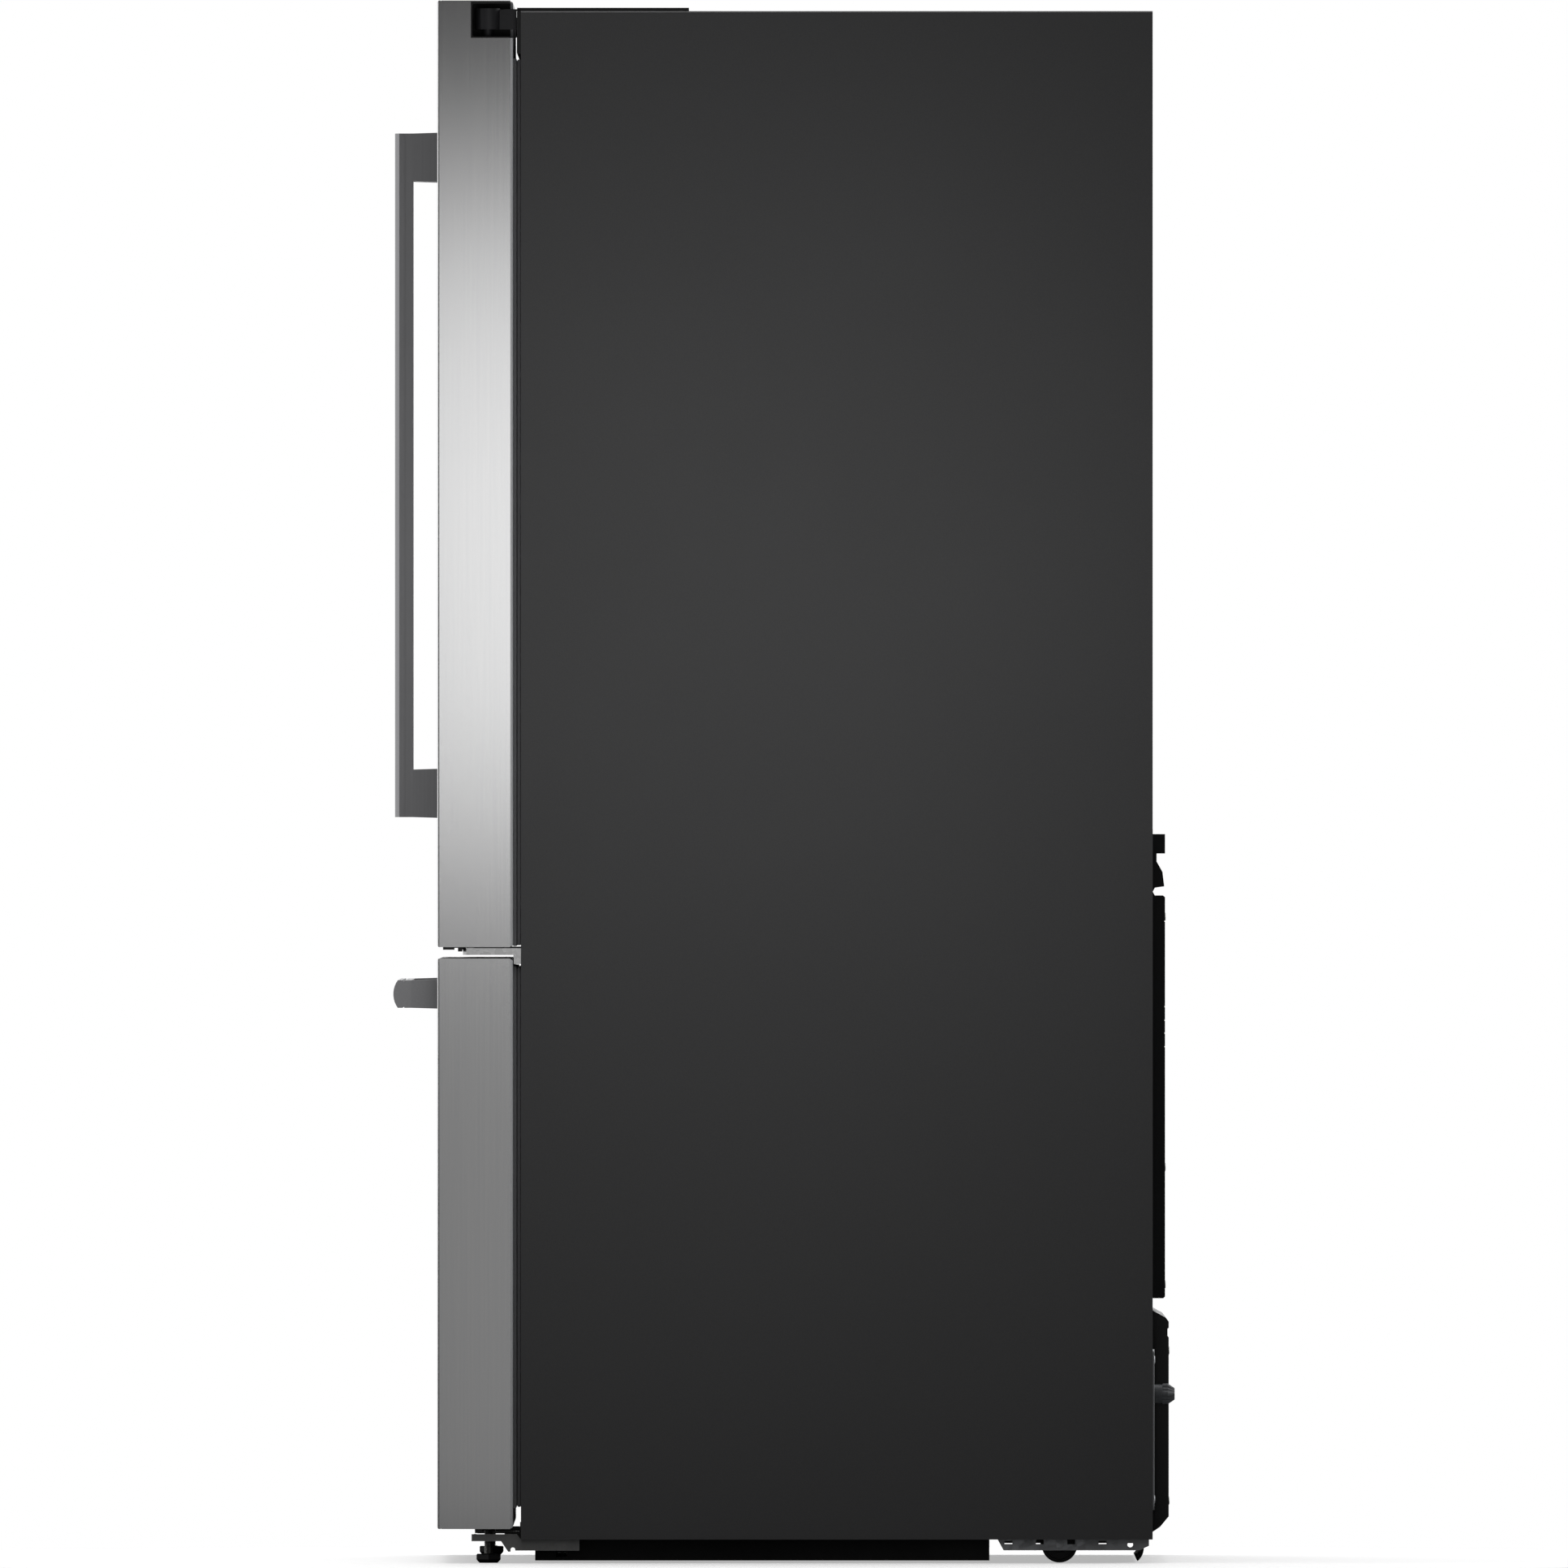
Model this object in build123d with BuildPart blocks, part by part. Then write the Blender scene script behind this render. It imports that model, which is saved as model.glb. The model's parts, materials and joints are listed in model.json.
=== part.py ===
from build123d import *
import os

# French door refrigerator. Millimetres, +Z up, doors facing -Y.
# The origin is on the floor under the middle of the whole object.

# ---- Overall size
overall_width = 908.0
overall_depth = 889.8
overall_height = 1778.0

# ---- Depth stack, handle front to water inlet
handle_projection = 50.4
door_thickness = 86.3
gasket_gap = 8.8
inlet_projection = 25.4

# ---- Height stack
case_clearance = 26.8
drawer_clearance = 38.8
drawer_front_height = 649.1
door_split = 13.0
door_above_case = 12.0

# ---- Cabinet walls
case_side_inset = 1.5
side_wall = 50.0
top_wall = 74.0
floor_wall = 62.0
back_wall = 60.0
divider_above = 36.0
divider_below = 38.0
sheet = 1.0
panel_bead_depth = 3.0
liner_sheet = 2.0
liner_flange = 12.0
foam_joint = 0.3
foam_gap = 0.8
case_corner_radius = 3.0
cavity_corner_radius = 14.0

# ---- Machine space, low at the back
machine_depth = 225.0
machine_top = 287.0
step_wall = 45.0

# ---- Doors
centre_gap = 3.0
shell_sheet = 1.2
shell_edge_radius = 2.5
shell_seam_depth = 3.7
seam_width = 0.8
door_liner_thickness = 3.2
dyke_width = 28.0
dyke_depth = 34.2
drawer_dyke_depth = 26.2
dyke_clearance = 12.0
dyke_edge_radius = 5.0
dyke_end_clearance = 14.0
part_gap = 0.3

# ---- Gaskets
gasket_width = 20.0
gasket_foot_share = 0.48
gasket_neck_share = 0.62
gasket_neck_inset = 2.5
gasket_lip_inset = 1.2
gasket_side_inset = 20.0
gasket_centre_inset = 3.5
upper_gasket_rise = 1.1
upper_gasket_top_drop = 66.0
drawer_gasket_rise = 24.0
drawer_gasket_drop = 8.9

# ---- Handles
handle_bar_depth = 20.8
handle_bar_width = 31.4
handle_crown = 5.0
handle_groove = 1.0
groove_share = 0.55
handle_post_height = 54.5
handle_post_flare = 0.9
handle_from_centre = 46.0
door_handle_margin = 147.7
drawer_handle_margin = 63.15
drawer_handle_drop = 40.6

# ---- Hinges
hinge_side_inset = 16.0
hinge_behind_front = 57.2
knuckle_radius = 14.3
knuckle_height = 23.8
pin_radius = 6.0
pin_length = 31.0
pin_clearance = 0.05
hinge_top_drop = 9.0
recess_height = 41.1
recess_lip = 3.5
recess_depth = 42.5
recess_behind_pin = 25.0
recess_corner = 3.0
recess_side = 18.0
pocket_wall = 1.5
sleeve_wall = 4.0
hinge_plate = 2.2
hinge_plate_length = 120.0
arm_outboard = 4.0
centre_plate_thickness = 7.6
centre_plate_below_door = 1.3
centre_nose_radius = 28.1
centre_pin_radius = 3.65
centre_pin_length = 22.0
centre_leg_depth = 8.0
centre_leg_height = 18.0
screw_head_radius = 4.5
screw_head_height = 0.5
screw_shank_radius = 2.4
screw_clearance = 0.1

# ---- Centre flap
flap_width = 52.0
flap_thickness = 18.0
flap_end_gap = 10.0
flap_dyke_gap = 8.0
flap_pivot_inset = 4.0
flap_edge_radius = 3.9
flap_pin_radius = 2.5
flap_pin_length = 12.0
ear_thickness = 3.0
ear_gap = 0.5
ear_margin = 5.0

# ---- Roof pieces
trim_depth = 4.6
trim_height = 48.5
trim_side_inset = 1.0
trim_edge_radius = 1.2
cover_height = 3.7
cover_wall = 1.2
cover_width = 112.0
cover_length = 195.8
harness_height = 2.8
harness_width = 180.0
harness_length = 73.0
harness_from_back = 404.0
harness_bevel = 5.5

# ---- Feet, brackets, rails and rollers
foot_from_side = 44.0
foot_behind_front = 58.2
foot_pad_radius = 15.85
foot_pad_height = 10.2
foot_pad_chamfer = 4.0
foot_stem_radius = 4.95
foot_stem_clearance = 0.07
foot_stem_drop = 1.5
bracket_sheet = 2.5
bracket_half_width = 16.0
rail_from_side = 74.0
rail_half_gap = 14.0
rail_sheet = 2.0
rail_length = 172.6
rail_rear_inset = 3.9
rail_bottom = 13.9
rail_slot_width = 9.0
rail_slot_pitch = 35.7
rail_slot_count = 4
roller_radius = 20.4
roller_from_back = 105.8
roller_width = 23.0
roller_edge_radius = 1.5
roller_slot_gap = 4.0
axle_radius = 4.0
axle_clearance = 0.05

# ---- Inside the fresh-food compartment
duct_half_width = 60.0
duct_depth = 20.0
ladder_depth = 4.0
ladder_width = 14.0
shelf_thickness = 4.0
rim_height = 12.0
rim_width = 10.0
shelf_setback = 115.0
shelf_rear_gap = 30.0
shelf_centre_gap = 8.0
shelf_levels = 2
right_shelf_offset = 25.0
left_shelf_offset = -55.0
crisper_height = 175.0
crisper_rise = 14.0
crisper_setback = 134.0
crisper_rear_gap = 84.9
crisper_wall = 3.0
crisper_side_gap = 7.0
crisper_cover_gap = 8.0
bin_count = 3
bin_first_rise = 220.0
bin_top_room = 241.6
bin_height = 96.0
bin_depth = 108.0
bin_wall = 3.0
bin_radius = 18.0
console_half_width = 110.0
console_length = 120.0
console_setback = 30.0
console_flap_gap = 1.5

# ---- Freezer
tray_above_slide = 39.0
slide_rear_gap = 92.5
slide_setback = 21.4
slide_height = 46.0
slide_sheet = 1.6
slide_depth = 12.0
slide_step = 0.7
basket_rise = 21.0
basket_wall = 3.0
basket_side_gap = 17.5
basket_rear_gap = 18.5
tray_top_gap = 102.6
tray_height = 120.0
tray_rear_gap = 70.9
tray_setback = 38.0
tray_side_gap = 20.5
ledge_width = 16.0
ledge_height = 4.0
evaporator_space = 75.0

# ---- Levels and planes worked out from the sizes above
half_width = overall_width / 2
case_half = half_width - case_side_inset
cavity_half = case_half - side_wall
y_handle_front = -overall_depth / 2
y_door_front = y_handle_front + handle_projection
y_door_back = y_door_front + door_thickness
y_shell_back = y_door_back - door_liner_thickness
y_case_front = y_door_back + gasket_gap
y_case_back = overall_depth / 2 - inlet_projection
y_fresh_back = y_case_back - back_wall
y_machine_front = y_case_back - machine_depth
y_step = y_machine_front - step_wall
y_evaporator = y_fresh_back - evaporator_space
z_case_top = overall_height - door_above_case
z_drawer_top = drawer_clearance + drawer_front_height
z_door_bottom = z_drawer_top + door_split
z_divider = (z_drawer_top + z_door_bottom) / 2
z_fresh_floor = z_divider + divider_above
z_fresh_top = z_case_top - top_wall
z_freezer_floor = case_clearance + floor_wall
z_freezer_top = z_divider - divider_below
z_step = machine_top + step_wall
drawer_handle_length = overall_width - 2 * drawer_handle_margin
hinge_x = half_width - hinge_side_inset
y_hinge = y_door_front + hinge_behind_front
foot_x = half_width - foot_from_side
y_foot = y_door_front + foot_behind_front
rail_x = half_width - rail_from_side
y_roller = y_case_back - roller_from_back
SIDES = (("right", 1), ("left", -1))

os.makedirs("parts", exist_ok=True)


def block(x, y, z, mode=Mode.ADD):
    """Add a box to the open part, from the low and high value on each axis."""
    with Locations(((x[0] + x[1]) / 2, (y[0] + y[1]) / 2, (z[0] + z[1]) / 2)):
        Box(abs(x[1] - x[0]), abs(y[1] - y[0]), abs(z[1] - z[0]), mode=mode)


def both(half):
    """The pair of limits that lie the same distance each side of the middle."""
    return (-half, half)


def front_plane(y):
    """An upright plane facing the doors, with x to the right and z up."""
    return Plane(origin=(0, y, 0), x_dir=(1, 0, 0), z_dir=(0, -1, 0))


def side_plane(x):
    """An upright plane facing right, with y and z as its own axes."""
    return Plane.YZ.offset(x)


def upright(x, y, z, radius, height, mode=Mode.ADD):
    """Add a vertical cylinder standing on the level z."""
    with Locations((x, y, z)):
        Cylinder(radius, height, align=(Align.CENTER, Align.CENTER, Align.MIN), mode=mode)


def save(piece, name):
    """Name a finished piece and write it."""
    piece.part.label = name
    export_step(piece.part, f"parts/{name}.step")


# ======================================================================
# Cabinet
# ======================================================================

with BuildPart() as cabinet_wrap:
    block(both(case_half), (y_case_front, y_case_back), (case_clearance, z_case_top))
    fillet(cabinet_wrap.edges().filter_by(Axis.Y).group_by(Axis.Z)[-1], case_corner_radius)
    block(
        both(case_half - sheet),
        (y_case_front + sheet, y_case_back + sheet),
        (case_clearance - sheet, z_case_top - sheet),
        Mode.SUBTRACT,
    )
    for z_low, z_high in ((z_freezer_floor, z_freezer_top), (z_fresh_floor, z_fresh_top)):
        block(
            both(cavity_half + liner_flange),
            (y_case_front - sheet, y_case_front + 2 * sheet),
            (z_low - liner_flange, z_high + liner_flange),
            Mode.SUBTRACT,
        )
save(cabinet_wrap, "cabinet_wrap")

foam_front = y_case_front + liner_sheet + foam_joint
foam_back = y_case_back - sheet - panel_bead_depth
foam_top = z_case_top - sheet - foam_gap
foam_bottom = case_clearance + sheet + foam_joint
foam_inner = cavity_half + liner_sheet
foam_outer = case_half - sheet - foam_gap
clear = liner_sheet + foam_joint
lining_bottom = case_clearance + sheet + part_gap

# One folded sheet: the flat back, and the lining of the machine space below it.
with BuildPart() as back_panel:
    block(
        both(case_half - sheet - part_gap),
        (y_case_back - sheet, y_case_back),
        (lining_bottom, z_case_top - sheet - part_gap),
    )
    block(both(foam_inner), (y_machine_front, y_case_back), (lining_bottom, machine_top))
    block(
        both(foam_inner - sheet),
        (y_machine_front + sheet, y_case_back + sheet),
        (lining_bottom - sheet, machine_top - sheet),
        Mode.SUBTRACT,
    )
save(back_panel, "back_panel")

# Foam fills the space between the wrap and the liners, as slabs that meet at thin joints.
with BuildPart() as cabinet_insulation:
    for sign in (-1, 1):
        block(
            (sign * (foam_inner + foam_joint), sign * foam_outer),
            (foam_front, foam_back),
            (foam_bottom, foam_top),
        )
    block(both(foam_inner), (foam_front, foam_back), (z_fresh_top + clear, foam_top))
    block(
        both(foam_inner),
        (foam_front, y_fresh_back + liner_sheet),
        (z_freezer_top + clear, z_fresh_floor - clear),
    )
    block(both(foam_inner), (y_fresh_back + clear, foam_back), (z_step, z_fresh_top + liner_sheet))
    block(
        both(foam_inner),
        (foam_front, y_step + liner_sheet),
        (foam_bottom, z_freezer_floor - clear),
    )
    block(both(foam_inner), (y_step + clear, y_machine_front), (foam_bottom, z_step - clear))
    block(
        both(foam_inner),
        (y_machine_front + foam_joint, foam_back),
        (machine_top + foam_joint, z_step - clear),
    )
save(cabinet_insulation, "cabinet_insulation")


def liner_bay(y_back, z_low, z_high):
    """One rounded cavity with its walls, open at the front, added to the open part."""
    block(
        both(cavity_half + liner_sheet),
        (y_case_front, y_back + liner_sheet),
        (z_low - liner_sheet, z_high + liner_sheet),
    )
    block(
        both(cavity_half + liner_flange - part_gap),
        (y_case_front, y_case_front + liner_sheet),
        (z_low - liner_flange + part_gap, z_high + liner_flange - part_gap),
    )


with BuildPart() as fresh_food_liner:
    liner_bay(y_fresh_back, z_fresh_floor, z_fresh_top)
    with BuildSketch(front_plane(y_case_front)):
        with Locations((0, (z_fresh_floor + z_fresh_top) / 2)):
            RectangleRounded(2 * cavity_half, z_fresh_top - z_fresh_floor, cavity_corner_radius)
    extrude(amount=-(y_fresh_back - y_case_front), mode=Mode.SUBTRACT)
save(fresh_food_liner, "fresh_food_liner")

with BuildPart() as freezer_liner:
    liner_bay(y_step, z_freezer_floor, z_freezer_top)
    block(
        both(cavity_half + liner_sheet),
        (y_step, y_fresh_back + liner_sheet),
        (z_step - liner_sheet, z_freezer_top + liner_sheet),
    )
    block(both(cavity_half), (y_case_front - sheet, y_step), (z_freezer_floor, z_freezer_top), Mode.SUBTRACT)
    block(both(cavity_half), (y_step - sheet, y_fresh_back), (z_step, z_freezer_top), Mode.SUBTRACT)
save(freezer_liner, "freezer_liner")

with BuildPart() as base_pan:
    block(
        both(case_half - sheet - part_gap),
        (y_case_front + sheet + part_gap, y_case_back - sheet),
        (case_clearance, case_clearance + sheet),
    )
    with Locations(*[(sign * rail_x, y_roller, case_clearance) for sign in (-1, 1)]):
        Box(
            2 * (rail_half_gap - rail_sheet),
            2 * (roller_radius + roller_slot_gap),
            4 * sheet,
            mode=Mode.SUBTRACT,
        )
save(base_pan, "base_pan")

with BuildPart() as top_trim:
    block(
        both(case_half - trim_side_inset),
        (y_case_front - trim_depth, y_case_front),
        (z_case_top - trim_height, z_case_top),
    )
    fillet(top_trim.faces().sort_by(Axis.Y)[0].edges(), trim_edge_radius)
save(top_trim, "top_trim")


# ======================================================================
# Hinges on the cabinet
# ======================================================================

knuckle_top = overall_height - hinge_top_drop
knuckle_bottom = knuckle_top - knuckle_height
plate_front = y_case_front - trim_depth
plate_inboard = 62.0
plate_outboard = 8.0
screw_rows = (30.0, 90.0)
screw_columns = (-50.0, -10.0)
centre_plate_top = z_door_bottom - centre_plate_below_door
centre_plate_bottom = centre_plate_top - centre_plate_thickness
centre_outboard = hinge_side_inset - case_side_inset
centre_inboard = 20.0
centre_leg_inboard = 60.0
leg_screw_offsets = (-50.0, -29.0)
arm_overlap = 12.0
plate_setback = 6.0
roof_screw_stand = 0.2
nose_trim = 100.0

with BuildPart() as door_hinges:
    for side, sign in SIDES:
        x = sign * hinge_x
        # Top hinge: knuckle and pin in front of the trim, plate on the roof.
        upright(x, y_hinge, knuckle_bottom, knuckle_radius, knuckle_height)
        upright(x, y_hinge, knuckle_bottom - pin_length, pin_radius, pin_length + 1)
        block(
            (x - sign * knuckle_radius, x + sign * arm_outboard),
            (y_hinge, plate_front - part_gap),
            (knuckle_bottom, knuckle_top - cover_wall),
        )
        block(
            (x - sign * knuckle_radius, x + sign * arm_outboard),
            (plate_front - knuckle_radius, y_case_front + arm_overlap),
            (z_case_top, z_case_top + hinge_plate),
        )
        block(
            (x - sign * plate_inboard, x + sign * plate_outboard),
            (y_case_front + plate_setback, y_case_front + hinge_plate_length),
            (z_case_top, z_case_top + hinge_plate),
        )
        for dx in screw_columns:
            for dy in screw_rows:
                upright(
                    x + sign * dx,
                    y_case_front + dy,
                    z_case_top - hinge_plate,
                    screw_shank_radius + screw_clearance,
                    3 * hinge_plate,
                    Mode.SUBTRACT,
                )
    for side, sign in SIDES:
        x = sign * hinge_x
        # Centre hinge: flat arm under the door with a round nose, leg on the cross rail.
        with BuildSketch(Plane.XY.offset(centre_plate_bottom)):
            with Locations((x, y_hinge)):
                Circle(centre_nose_radius)
            for toward, reach in ((-sign, centre_inboard), (sign, centre_outboard)):
                with Locations((x + toward * nose_trim, y_hinge)):
                    Rectangle(2 * (nose_trim - reach), 2 * nose_trim, mode=Mode.SUBTRACT)
            x_arm = x + sign * (centre_outboard - centre_inboard) / 2
            with Locations((x_arm, (y_hinge + y_case_front) / 2)):
                Rectangle(centre_outboard + centre_inboard, y_case_front - y_hinge)
        extrude(amount=centre_plate_thickness)
        block(
            (x - sign * centre_leg_inboard, x + sign * centre_outboard),
            (y_case_front - centre_leg_depth, y_case_front),
            (centre_plate_top - centre_leg_height, centre_plate_top),
        )
        upright(x, y_hinge, centre_plate_top - 1, centre_pin_radius, centre_pin_length + 1)
save(door_hinges, "door_hinges")

with BuildPart() as hinge_screws:
    for side, sign in SIDES:
        for dx in screw_columns:
            for dy in screw_rows:
                x, y = sign * (hinge_x + dx), y_case_front + dy
                upright(x, y, z_case_top, screw_shank_radius, hinge_plate + roof_screw_stand)
        for dx in leg_screw_offsets:
            x = sign * (hinge_x + dx)
            with BuildSketch(front_plane(y_case_front - centre_leg_depth)):
                with Locations((x, centre_plate_top - centre_leg_height / 2)):
                    Circle(screw_head_radius)
            extrude(amount=screw_head_height)
save(hinge_screws, "hinge_screws")

# Covers on the roof: one over each hinge plate and one low cover over the wiring.
cover_side_inset = 4.0
y_harness = y_case_back - harness_from_back
with BuildPart() as top_covers:
    for side, sign in SIDES:
        outer = case_half - cover_side_inset
        y_range = (y_case_front - trim_depth + part_gap, y_case_front - trim_depth + cover_length)
        block((sign * (outer - cover_width), sign * outer), y_range, (z_case_top, z_case_top + cover_height))
        block(
            (sign * (outer - cover_width + cover_wall), sign * (outer - cover_wall)),
            (y_range[0] - cover_wall, y_range[1] - cover_wall),
            (z_case_top - 1, z_case_top + cover_height - cover_wall),
            Mode.SUBTRACT,
        )
    with BuildSketch(side_plane(-harness_width / 2)):
        with BuildLine():
            Polyline(
                (y_harness - harness_length, z_case_top),
                (y_harness, z_case_top),
                (y_harness - harness_bevel, z_case_top + harness_height),
                (y_harness - harness_length + harness_bevel, z_case_top + harness_height),
                close=True,
            )
        make_face()
    extrude(amount=harness_width)
save(top_covers, "top_covers")


# ======================================================================
# Base: brackets, rails, air guide
# ======================================================================

bracket_bottom = case_clearance - 2.1
bracket_top = case_clearance + 5.9
bracket_low = case_clearance - 12.8
bracket_lip = bracket_low - 1.3
bracket_front = y_foot - 19.3
bracket_step = y_foot + 14.3
bracket_heel = y_foot + 22.3
bracket_heel_end = y_foot + 25.1
bracket_rear = y_case_front + 66.4
bracket_roll = 4.0
bracket_hole_radius = 2.6

with BuildPart() as leg_brackets:
    for side, sign in SIDES:
        x_plate = sign * (foot_x + bracket_half_width)
        with BuildSketch(side_plane(x_plate)):
            with BuildLine():
                Polyline(
                    (bracket_front, bracket_bottom),
                    (bracket_step, bracket_bottom),
                    (bracket_heel, bracket_lip),
                    (bracket_heel_end, bracket_lip),
                    (bracket_heel_end, bracket_low),
                    (bracket_rear, bracket_low),
                    (bracket_rear, case_clearance),
                    (y_case_front - part_gap, case_clearance),
                    (y_case_front - trim_depth, bracket_top),
                    (bracket_front, bracket_top),
                    close=True,
                )
            make_face()
            with Locations((bracket_heel_end + bracket_hole_radius, bracket_low + 1)):
                Circle(bracket_hole_radius, mode=Mode.SUBTRACT)
        extrude(amount=sign * bracket_sheet)
        block(
            (sign * (foot_x - bracket_half_width), x_plate),
            (bracket_front + bracket_roll, y_case_front - part_gap),
            (bracket_bottom, bracket_bottom + bracket_sheet),
        )
        with Locations((sign * foot_x, bracket_front + bracket_roll, bracket_bottom + bracket_roll)):
            Cylinder(bracket_roll, 2 * bracket_half_width, rotation=(0, 90, 0))
        upright(
            sign * foot_x,
            y_foot,
            bracket_bottom - 1,
            foot_stem_radius + foot_stem_clearance,
            bracket_sheet + 2,
            Mode.SUBTRACT,
        )
save(leg_brackets, "leg_brackets")

rail_front = y_case_back - rail_rear_inset - rail_length
rail_back = y_case_back - rail_rear_inset
rail_front_slope = 7.0
rail_back_slope = 11.0
rail_back_rise = 5.2
rail_hole_radius = 3.3
rail_hole_inset = 21.3
rail_slot_inset = 12.6
rail_slot_depth = 3.0
rail_plate_gap = 6.0
axle_overhang = 3.0
with BuildPart() as rear_rails:
    for side, sign in SIDES:
        for offset_x in (-rail_half_gap, rail_half_gap - rail_sheet):
            x_low = sign * rail_x + offset_x
            with BuildSketch(side_plane(x_low)):
                with BuildLine():
                    Polyline(
                        (rail_front, case_clearance),
                        (rail_front + rail_front_slope, rail_bottom),
                        (rail_back - rail_back_slope, rail_bottom),
                        (rail_back, rail_bottom + rail_back_rise),
                        (rail_back, case_clearance),
                        close=True,
                    )
                make_face()
                with Locations((y_roller, roller_radius)):
                    Circle(axle_radius + axle_clearance, mode=Mode.SUBTRACT)
                with Locations((rail_back - rail_hole_inset, (rail_bottom + case_clearance) / 2)):
                    Circle(rail_hole_radius, mode=Mode.SUBTRACT)
                for i in range(rail_slot_count):
                    y_slot = rail_front + rail_slot_inset + i * rail_slot_pitch
                    if abs(y_slot - y_roller) > rail_slot_width + axle_radius:
                        with Locations((y_slot, case_clearance - rail_slot_depth)):
                            Rectangle(rail_slot_width, 2 * rail_slot_depth, mode=Mode.SUBTRACT)
            extrude(amount=rail_sheet)
        # Cross plates join the two cheeks ahead of and behind the roller.
        x_in = (sign * rail_x - rail_half_gap, sign * rail_x + rail_half_gap)
        plate_reach = roller_radius + rail_plate_gap
        for y_range in (
            (rail_front + rail_front_slope, y_roller - plate_reach),
            (y_roller + plate_reach, rail_back),
        ):
            block(x_in, y_range, (case_clearance - rail_sheet, case_clearance))
    for side, sign in SIDES:
        with Locations((sign * rail_x, y_roller, roller_radius)):
            Cylinder(axle_radius, 2 * (rail_half_gap + axle_overhang), rotation=(0, 90, 0))
save(rear_rails, "rear_rails")

guide_bottom = 2.0
guide_wall = 2.5
guide_rail_gap = 4.0
guide_half = rail_x - rail_half_gap - guide_rail_gap
guide_setback = 15.9
guide_overrun = 39.5
guide_vent_setback = 39.4
guide_vent_length = 13.0
guide_vent_z = (6.0, 16.0)
baffle_radius = 20.0
baffle_sheet = 2.0
baffle_from_back = 29.5
baffle_drop = 10.2
baffle_start = 0.0
baffle_sweep = -50.0
with BuildPart() as air_guide:
    y_guide = (y_case_front + guide_setback, y_machine_front + guide_overrun)
    y_vent = y_case_front + guide_vent_setback
    block(both(guide_half), y_guide, (guide_bottom, case_clearance))
    block(
        both(guide_half - guide_wall),
        (y_guide[0] + guide_wall, y_guide[1] - guide_wall),
        (guide_bottom + guide_wall, case_clearance + 1),
        Mode.SUBTRACT,
    )
    for sign in (-1, 1):
        block(
            (sign * (guide_half - 2 * guide_wall), sign * (guide_half + guide_wall)),
            (y_vent, y_vent + guide_vent_length),
            guide_vent_z,
            Mode.SUBTRACT,
        )
    with BuildSketch(side_plane(-guide_half)):
        with BuildLine():
            centre = (y_case_back - baffle_from_back, case_clearance - baffle_drop)
            outer_arc = CenterArc(centre, baffle_radius, baffle_start, baffle_sweep)
            inner_arc = CenterArc(centre, baffle_radius - baffle_sheet, baffle_start, baffle_sweep)
            Line(outer_arc @ 1, inner_arc @ 1)
            Line(outer_arc @ 0, inner_arc @ 0)
        make_face()
        with Locations((centre[0] + baffle_radius - baffle_sheet / 2, case_clearance - baffle_drop / 2)):
            Rectangle(baffle_sheet, baffle_drop)
    extrude(amount=2 * guide_half)
save(air_guide, "air_guide")


# ======================================================================
# Rear covers and water inlet
# ======================================================================

valve_plate = 2.0
valve_plate_left = 33.0
valve_plate_right = 38.0
valve_plate_above = 51.0
valve_plate_below = 132.0
valve_cover_gap = 2.0
valve_body = (44.0, 40.0, 60.0)
valve_side_gap = 6.5
valve_neck_radius = 10.5
valve_x = foam_inner - sheet - valve_side_gap - valve_body[0] / 2
nut_z = machine_top - 95.0
nut_length = 13.9
nut_wide = 13.5
nut_narrow = 7.4
tube_radius = 3.25
tube_seat = 14.0

cover_right = valve_x - valve_plate_left - valve_cover_gap
cover_left_inset = 4.5
cover_left = case_half - cover_left_inset
cover_bulge = 18.9
cover_sheet = 2.0
cover_skin = 3.4
cover_seat_gap = 0.1
cover_bottom = case_clearance + 7.2
band_low = machine_top - 31.0
band_high = machine_top - 20.0
band_depth = 1.4
shoulder = machine_top - 13.0
vent_columns = 10
vent_rows = 8
vent_pitch = (60.0, 16.0)
vent_size = (44.0, 5.0)
with BuildPart() as machine_cover:
    back = y_case_back + cover_bulge
    with BuildSketch(side_plane(-cover_left)):
        with BuildLine():
            Polyline(
                (y_case_back + cover_seat_gap, cover_bottom),
                (back - 10, cover_bottom + 6),
                (back, cover_bottom + 18),
                (back, band_low),
                (back - band_depth, band_low + band_depth),
                (back - band_depth, band_high - band_depth),
                (back, band_high),
                (back, shoulder),
                (back - cover_skin, shoulder + 4.5),
                (y_case_back + cover_seat_gap, machine_top),
                close=True,
            )
        make_face()
    extrude(amount=cover_left + cover_right)
    with BuildSketch(side_plane(-cover_left + cover_sheet)):
        with BuildLine():
            Polyline(
                (y_case_back - sheet, cover_bottom + cover_skin),
                (back - 11.5, cover_bottom + 8.5),
                (back - cover_skin, cover_bottom + 19),
                (back - cover_skin, shoulder - 1),
                (back - cover_skin - cover_sheet, shoulder + 2),
                (y_case_back - sheet, machine_top - cover_skin),
                close=True,
            )
        make_face()
    extrude(amount=cover_left + cover_right - 2 * cover_sheet, mode=Mode.SUBTRACT)
    with BuildSketch(front_plane(back + 1)):
        with Locations(((cover_right - cover_left) / 2, (cover_bottom + band_low) / 2)):
            with GridLocations(*vent_pitch, vent_columns, vent_rows):
                SlotOverall(*vent_size)
    extrude(amount=2 * cover_skin, mode=Mode.SUBTRACT)
save(machine_cover, "machine_cover")

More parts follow.
